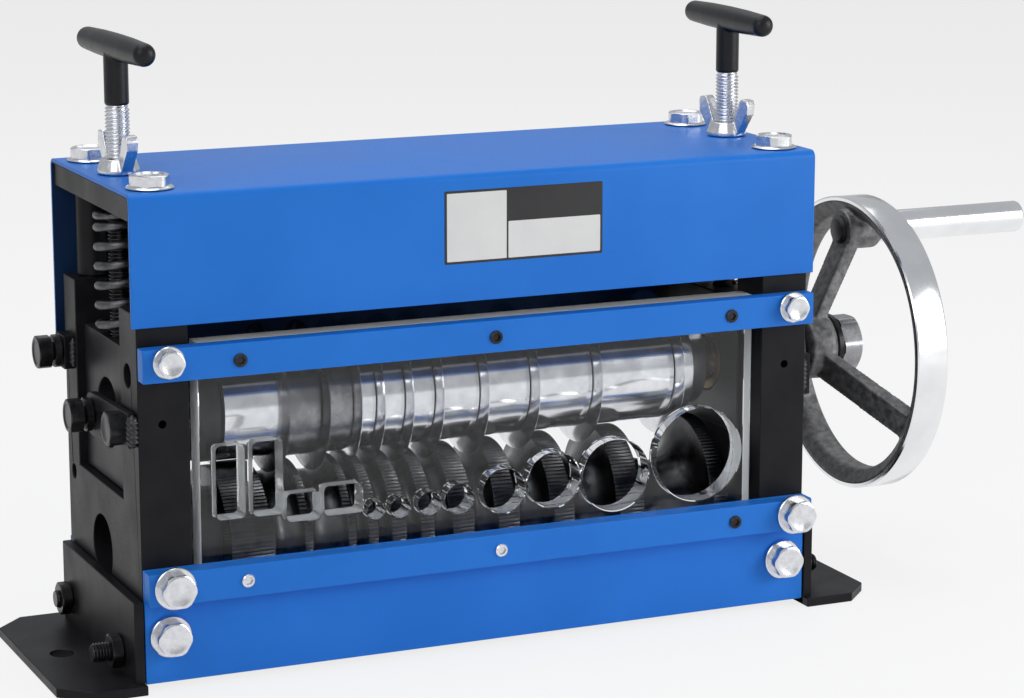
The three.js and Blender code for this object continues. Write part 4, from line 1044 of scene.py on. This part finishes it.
def feed_roller():
    """Journals, ridges with straight knurls, and a round groove under each blade."""
    low, high = limits("feed_roller")
    left = limits("blade_1")[0].x
    right = ROLLER_RIGHT_X
    knurl_root = RIDGE_RADIUS - KNURL_DEPTH
    profile = [(JOURNAL_RADIUS, low.x), (JOURNAL_RADIUS, left), (RIDGE_RADIUS - 1, left)]

    def ridge(x):
        def ring(angle):
            phase = angle / TAU * KNURL_TEETH % 1
            return RIDGE_RADIUS - KNURL_DEPTH * abs(2 * phase - 1), x
        return ring

    edge = left
    for x, half, bottom in GROOVES:
        depth = knurl_root - bottom
        steps = 16 if half > 8 else 10
        profile += [ridge(edge + 0.4), ridge(x - half - 0.3)]
        for step in range(steps + 1):
            angle = pi * step / steps
            profile.append((knurl_root - depth * sin(angle), x - half * cos(angle)))
        edge = x + half
    profile += [ridge(edge + 0.4), ridge(right - 0.5), (RIDGE_RADIUS - 1, right), (JOURNAL_RADIUS, right),
                (JOURNAL_RADIUS, high.x)]
    shape = along("x", revolve(profile, KNURL_TEETH * 4), (0, 0, FEED_Z))
    # The feed roller's darker steel is painted shade.
    dress("feed_roller", shape, "feeder", "shade_darkened_roller", smooth=30)


feed_roller()

GEAR_TEETH = 14
GEAR_WIDTH = 7.8
# Half of a tooth's width at each radius, from its root to its tip
TOOTH_WIDTHS = [(23.3, 4.1), (25.6, 3.25), (28, 2.64), (30, 1.85), (31.6, 1.1)]
CUTTER_HUB_RADIUS = 23
FEED_HUB_RADIUS = 21.5


def gear(node, body, first_tooth, mid_z, bore, hub_radius):
    """A spur gear with curved flanks, and its hub."""
    low, high = limits(node)
    tooth_outline = [(radius, -width) for radius, width in TOOTH_WIDTHS]
    tooth_outline += [(radius, width) for radius, width in reversed(TOOTH_WIDTHS)]
    outline = []
    for tooth in range(GEAR_TEETH):
        middle = (tooth + first_tooth) / GEAR_TEETH * TAU
        for radius, offset in tooth_outline:
            turn = middle + offset / radius
            outline.append((radius * sin(turn), radius * cos(turn)))
    side = low.x + GEAR_WIDTH
    teeth = slab(outline, low.x, side, [circle(bore)])
    hub = washer(bore, hub_radius, side - 1, high.x, 0.6)
    place = (0, 0, mid_z)
    make(f"{node}_teeth", along("x", teeth, place), body, "gear_steel", [node], edge=0.25)
    make(f"{node}_hub", along("x", hub, place), body, "gear_steel", [node])


gear("cutter_gear", "cutter", 0.5, CUTTER_Z, BORE_RADIUS, CUTTER_HUB_RADIUS)
gear("feed_gear", "feeder", 0, FEED_Z, JOURNAL_RADIUS + FIT_GAP, FEED_HUB_RADIUS)

SHAFT_END_RADIUS = 7
SHAFT_END_PITCH = 1.5


def cutter_shaft():
    """The shaft, with a thinner threaded end for the handwheel and its nut."""
    low, high = limits("cutter_shaft")
    shoulder = limits("handwheel")[0].x - FIT_GAP
    nut_end = limits("wheel_nut")[1].x
    body = revolve([(SHAFT_RADIUS - 0.5, low.x), (SHAFT_RADIUS, low.x + 0.5),
                    (SHAFT_RADIUS, shoulder - 0.5), (SHAFT_RADIUS - 0.5, shoulder)], 64)
    shape = together(body, rod(SHAFT_END_RADIUS, shoulder - 1, nut_end - 9),
                     threaded(SHAFT_END_RADIUS, 1.0, SHAFT_END_PITCH, nut_end - 11, high.x))
    dress("cutter_shaft", on_cutter(shape), "cutter", "roller_steel")


cutter_shaft()

WHEEL_RADIUS = 65.8
RIM_X = (197, 212.4)
RIM_INNER_RADIUS = 57.2
HUB_RADIUS = 15
HUB_X = (174, 188)
GRIP_CIRCLE_RADIUS = 51.5
SPOKE_COUNT = 3
SPOKE_HALF_WIDTH = 6.5
BOSS_RADIUS = 9
PIN_RADIUS = 4


def handwheel():
    """A rough casting with dished spokes, and a band of its rim turned and polished."""
    left, right = RIM_X
    outer = WHEEL_RADIUS
    inner = RIM_INNER_RADIUS
    hub_left, hub_right = HUB_X
    rim = revolve([(outer - 1.5, left + 0.4), (outer - 3, left), (inner + 1, left + 3), (inner, left + 5),
                   (inner, right - 2.4), (inner + 2, right - 0.3), (outer - 1.5, right - 0.3)],
                  144, closed=True)
    hub = revolve([(HUB_RADIUS - 2.4, hub_left), (HUB_RADIUS - 0.6, hub_left + 1.5),
                   (HUB_RADIUS, hub_right - 3), (HUB_RADIUS - 1.4, hub_right)], 64)
    side = [(hub_left + 2, 6), (hub_right - 1.5, 6), (hub_right - 1.5, HUB_RADIUS),
            (left + 11.5, inner + 2), (left + 4, inner + 2)]
    spoke = along("y", slab(side, -SPOKE_HALF_WIDTH, SPOKE_HALF_WIDTH))
    spokes = [moved(spoke, Matrix.Rotation(TAU * number / SPOKE_COUNT, 4, "X"))
              for number in range(SPOKE_COUNT)]
    boss = along("x", rod(BOSS_RADIUS, left - 2, right - 0.4, 1), (0, 0, GRIP_CIRCLE_RADIUS))
    casting = together(along("x", rim), along("x", hub), *spokes, boss)
    piece = make("handwheel_casting", moved(casting, Matrix.Translation((0, 0, CUTTER_Z))), "cutter",
                 "cast_iron", ["handwheel"], fuse=0.8, relax=3)
    cut_away(piece, on_cutter(rod(SHAFT_END_RADIUS + FIT_GAP, hub_left - 2, hub_right + 2)))
    band = revolve([(outer - 1.9, left + 0.1), (outer - 0.6, left + 0.1), (outer, left + 0.7),
                    (outer, right - 1.2), (outer - 0.5, right - 0.3), (outer - 1.4, right),
                    (inner + 3.4, right), (inner + 3, right - 0.5), (outer - 1.9, right - 0.5)],
                   192, closed=True)
    make("handwheel_polished_rim", on_cutter(band), "cutter", "chrome", ["handwheel"])
    pin = revolve([(2, left - 4.5), (5, left - 4.1), (6.2, left - 2.6), (6.2, left), (PIN_RADIUS, left),
                   (PIN_RADIUS, limits("handwheel")[1].x)], 40)
    make("grip_pin", on_cutter(pin, GRIP_CIRCLE_RADIUS), "cutter", "dark_steel", ["handwheel"])


handwheel()

WHEEL_NUT_FLATS = 24
WHEEL_WASHER_RADIUS = 13.5
WHEEL_WASHER_HEIGHT = 3


def wheel_nut():
    low, high = limits("wheel_nut")
    seat = low.x + WHEEL_WASHER_HEIGHT
    nut = hexagon(WHEEL_NUT_FLATS, seat, high.x, bottom_chamfer=True)
    piece = dress("wheel_nut", on_cutter(nut), "cutter", "roller_steel")
    cut_away(piece, on_cutter(rod(SHAFT_END_RADIUS + 0.2, low.x - 1, high.x + 1)))
    disc = washer(SHAFT_END_RADIUS + FIT_GAP, WHEEL_WASHER_RADIUS, low.x, seat, 0.5)
    make("wheel_washer", on_cutter(disc), "cutter", "dark_steel", ["wheel_nut"])


wheel_nut()

GRIP_RADIUS = 7
GRIP_CAP = 22


def crank_grip():
    """A polished tube with a thick cap at its free end, on the pin of the handwheel."""
    low, high = limits("crank_grip")
    bore = PIN_RADIUS + FIT_GAP
    radius = GRIP_RADIUS
    shape = revolve([(bore, low.x), (radius - 0.4, low.x), (radius, low.x + 0.4), (radius, high.x - 1.6),
                     (radius - 0.2, high.x - 0.9), (radius - 0.8, high.x - 0.3), (radius - 1.6, high.x),
                     (0.5, high.x), (0.5, high.x - GRIP_CAP), (bore, high.x - GRIP_CAP)], 64, closed=True)
    dress("crank_grip", on_cutter(shape, GRIP_CIRCLE_RADIUS), "crank_grip", "chrome")


crank_grip()

# A blank label plate on the cover: a dark sheet with pale empty fields
LABEL_X = (-19.3, 50.6)
LABEL_Z = (162, 191.7)
LABEL_BORDER = 1.0
LABEL_DIVIDE_X = (7.8, 8.6)
RIGHT_FIELD_TOP = 178


def label_plate():
    face = limits("cover")[0].y
    left, right = LABEL_X
    bottom, top = LABEL_Z
    sheet = rounded_box(left, right, bottom, top, 0.6, 3)
    make("label_plate", along("y", slab(sheet, face - 0.12, face - 0.02)), "frame", "label_black")
    fields = [(left + LABEL_BORDER, LABEL_DIVIDE_X[0], top - LABEL_BORDER),
              (LABEL_DIVIDE_X[1], right - LABEL_BORDER, RIGHT_FIELD_TOP)]
    for number, (start, end, field_top) in enumerate(fields, 1):
        outline = rounded_box(start, end, bottom + LABEL_BORDER, field_top, 0.3, 2)
        field = slab(outline, face - 0.16, face - 0.1)
        make(f"label_field_{number}", along("y", field), "frame", "label_white")


label_plate()


# Floor and lights
def seen_rays(tree):
    """One for what the camera, a mirror or a clear plate shows, and zero for what lights a surface."""
    rays = add(tree, "ShaderNodeLightPath").outputs
    seen = calc(tree, "MAXIMUM", rays["Is Camera Ray"], rays["Is Glossy Ray"])
    return calc(tree, "MAXIMUM", seen, rays["Is Transmission Ray"])


FLOOR_REACH = 9
FLOOR_GLOW = 0.8


def floor():
    """A white surface that keeps the object's shadow and looks evenly lit far out."""
    data = bpy.data.meshes.new("floor")
    corners = [(x * FLOOR_REACH, y * FLOOR_REACH, 0) for x, y in ((-1, -1), (1, -1), (1, 1), (-1, 1))]
    data.from_pydata(corners, [], [(0, 1, 2, 3)])
    ground = placed("floor", data)
    material, tree, shader = finish_nodes("floor")
    feed(tree, shader, {"Base Color": (0.9, 0.9, 0.9, 1), "Roughness": 0.9, "Specular IOR Level": 0.0})
    glow = add(tree, "ShaderNodeEmission", {"Color": (1, 1, 1, 1), "Strength": 1.0})
    show_mix(tree, calc(tree, "MULTIPLY", seen_rays(tree), FLOOR_GLOW), shader, glow)
    data.materials.append(material)


AIM = Vector((0, 0, 0.12))


def softbox(name, place, width, height, radiance):
    """A flat lamp that looks at the object. Its brightness is given as it looks in a mirror."""
    data = bpy.data.lights.new(name, "AREA")
    data.shape = "RECTANGLE"
    data.size = width
    data.size_y = height
    data.energy = radiance * pi * width * height
    lamp = placed(name, data)
    lamp.location = place
    lamp.rotation_euler = (AIM - Vector(place)).to_track_quat("-Z", "Y").to_euler()


floor()
softbox("front_right_softbox", (1.05, -0.92, 0.48), 0.8, 0.7, 5.6)
softbox("front_left_softbox", (-1.25, -1.15, 1.2), 1.2, 1.2, 2.0)
softbox("top_softbox", (-0.25, 0.1, 1.75), 1.2, 1.3, 2.5)
softbox("back_softbox", (0.4, 1.1, 1.5), 1.4, 0.9, 1.0)

WORLD_LIGHTING = 0.1
WORLD_SEEN = 0.5


def studio_world():
    """A dim room that looks brighter than the light it gives."""
    world = bpy.data.worlds.new("studio")
    world.use_nodes = True
    tree = world.node_tree
    strength = remap(tree, seen_rays(tree), 0, 1, WORLD_LIGHTING, WORLD_SEEN)
    feed(tree, tree.nodes["Background"], {"Color": (0.95, 0.97, 1, 1), "Strength": strength})
    scene.world = world


studio_world()
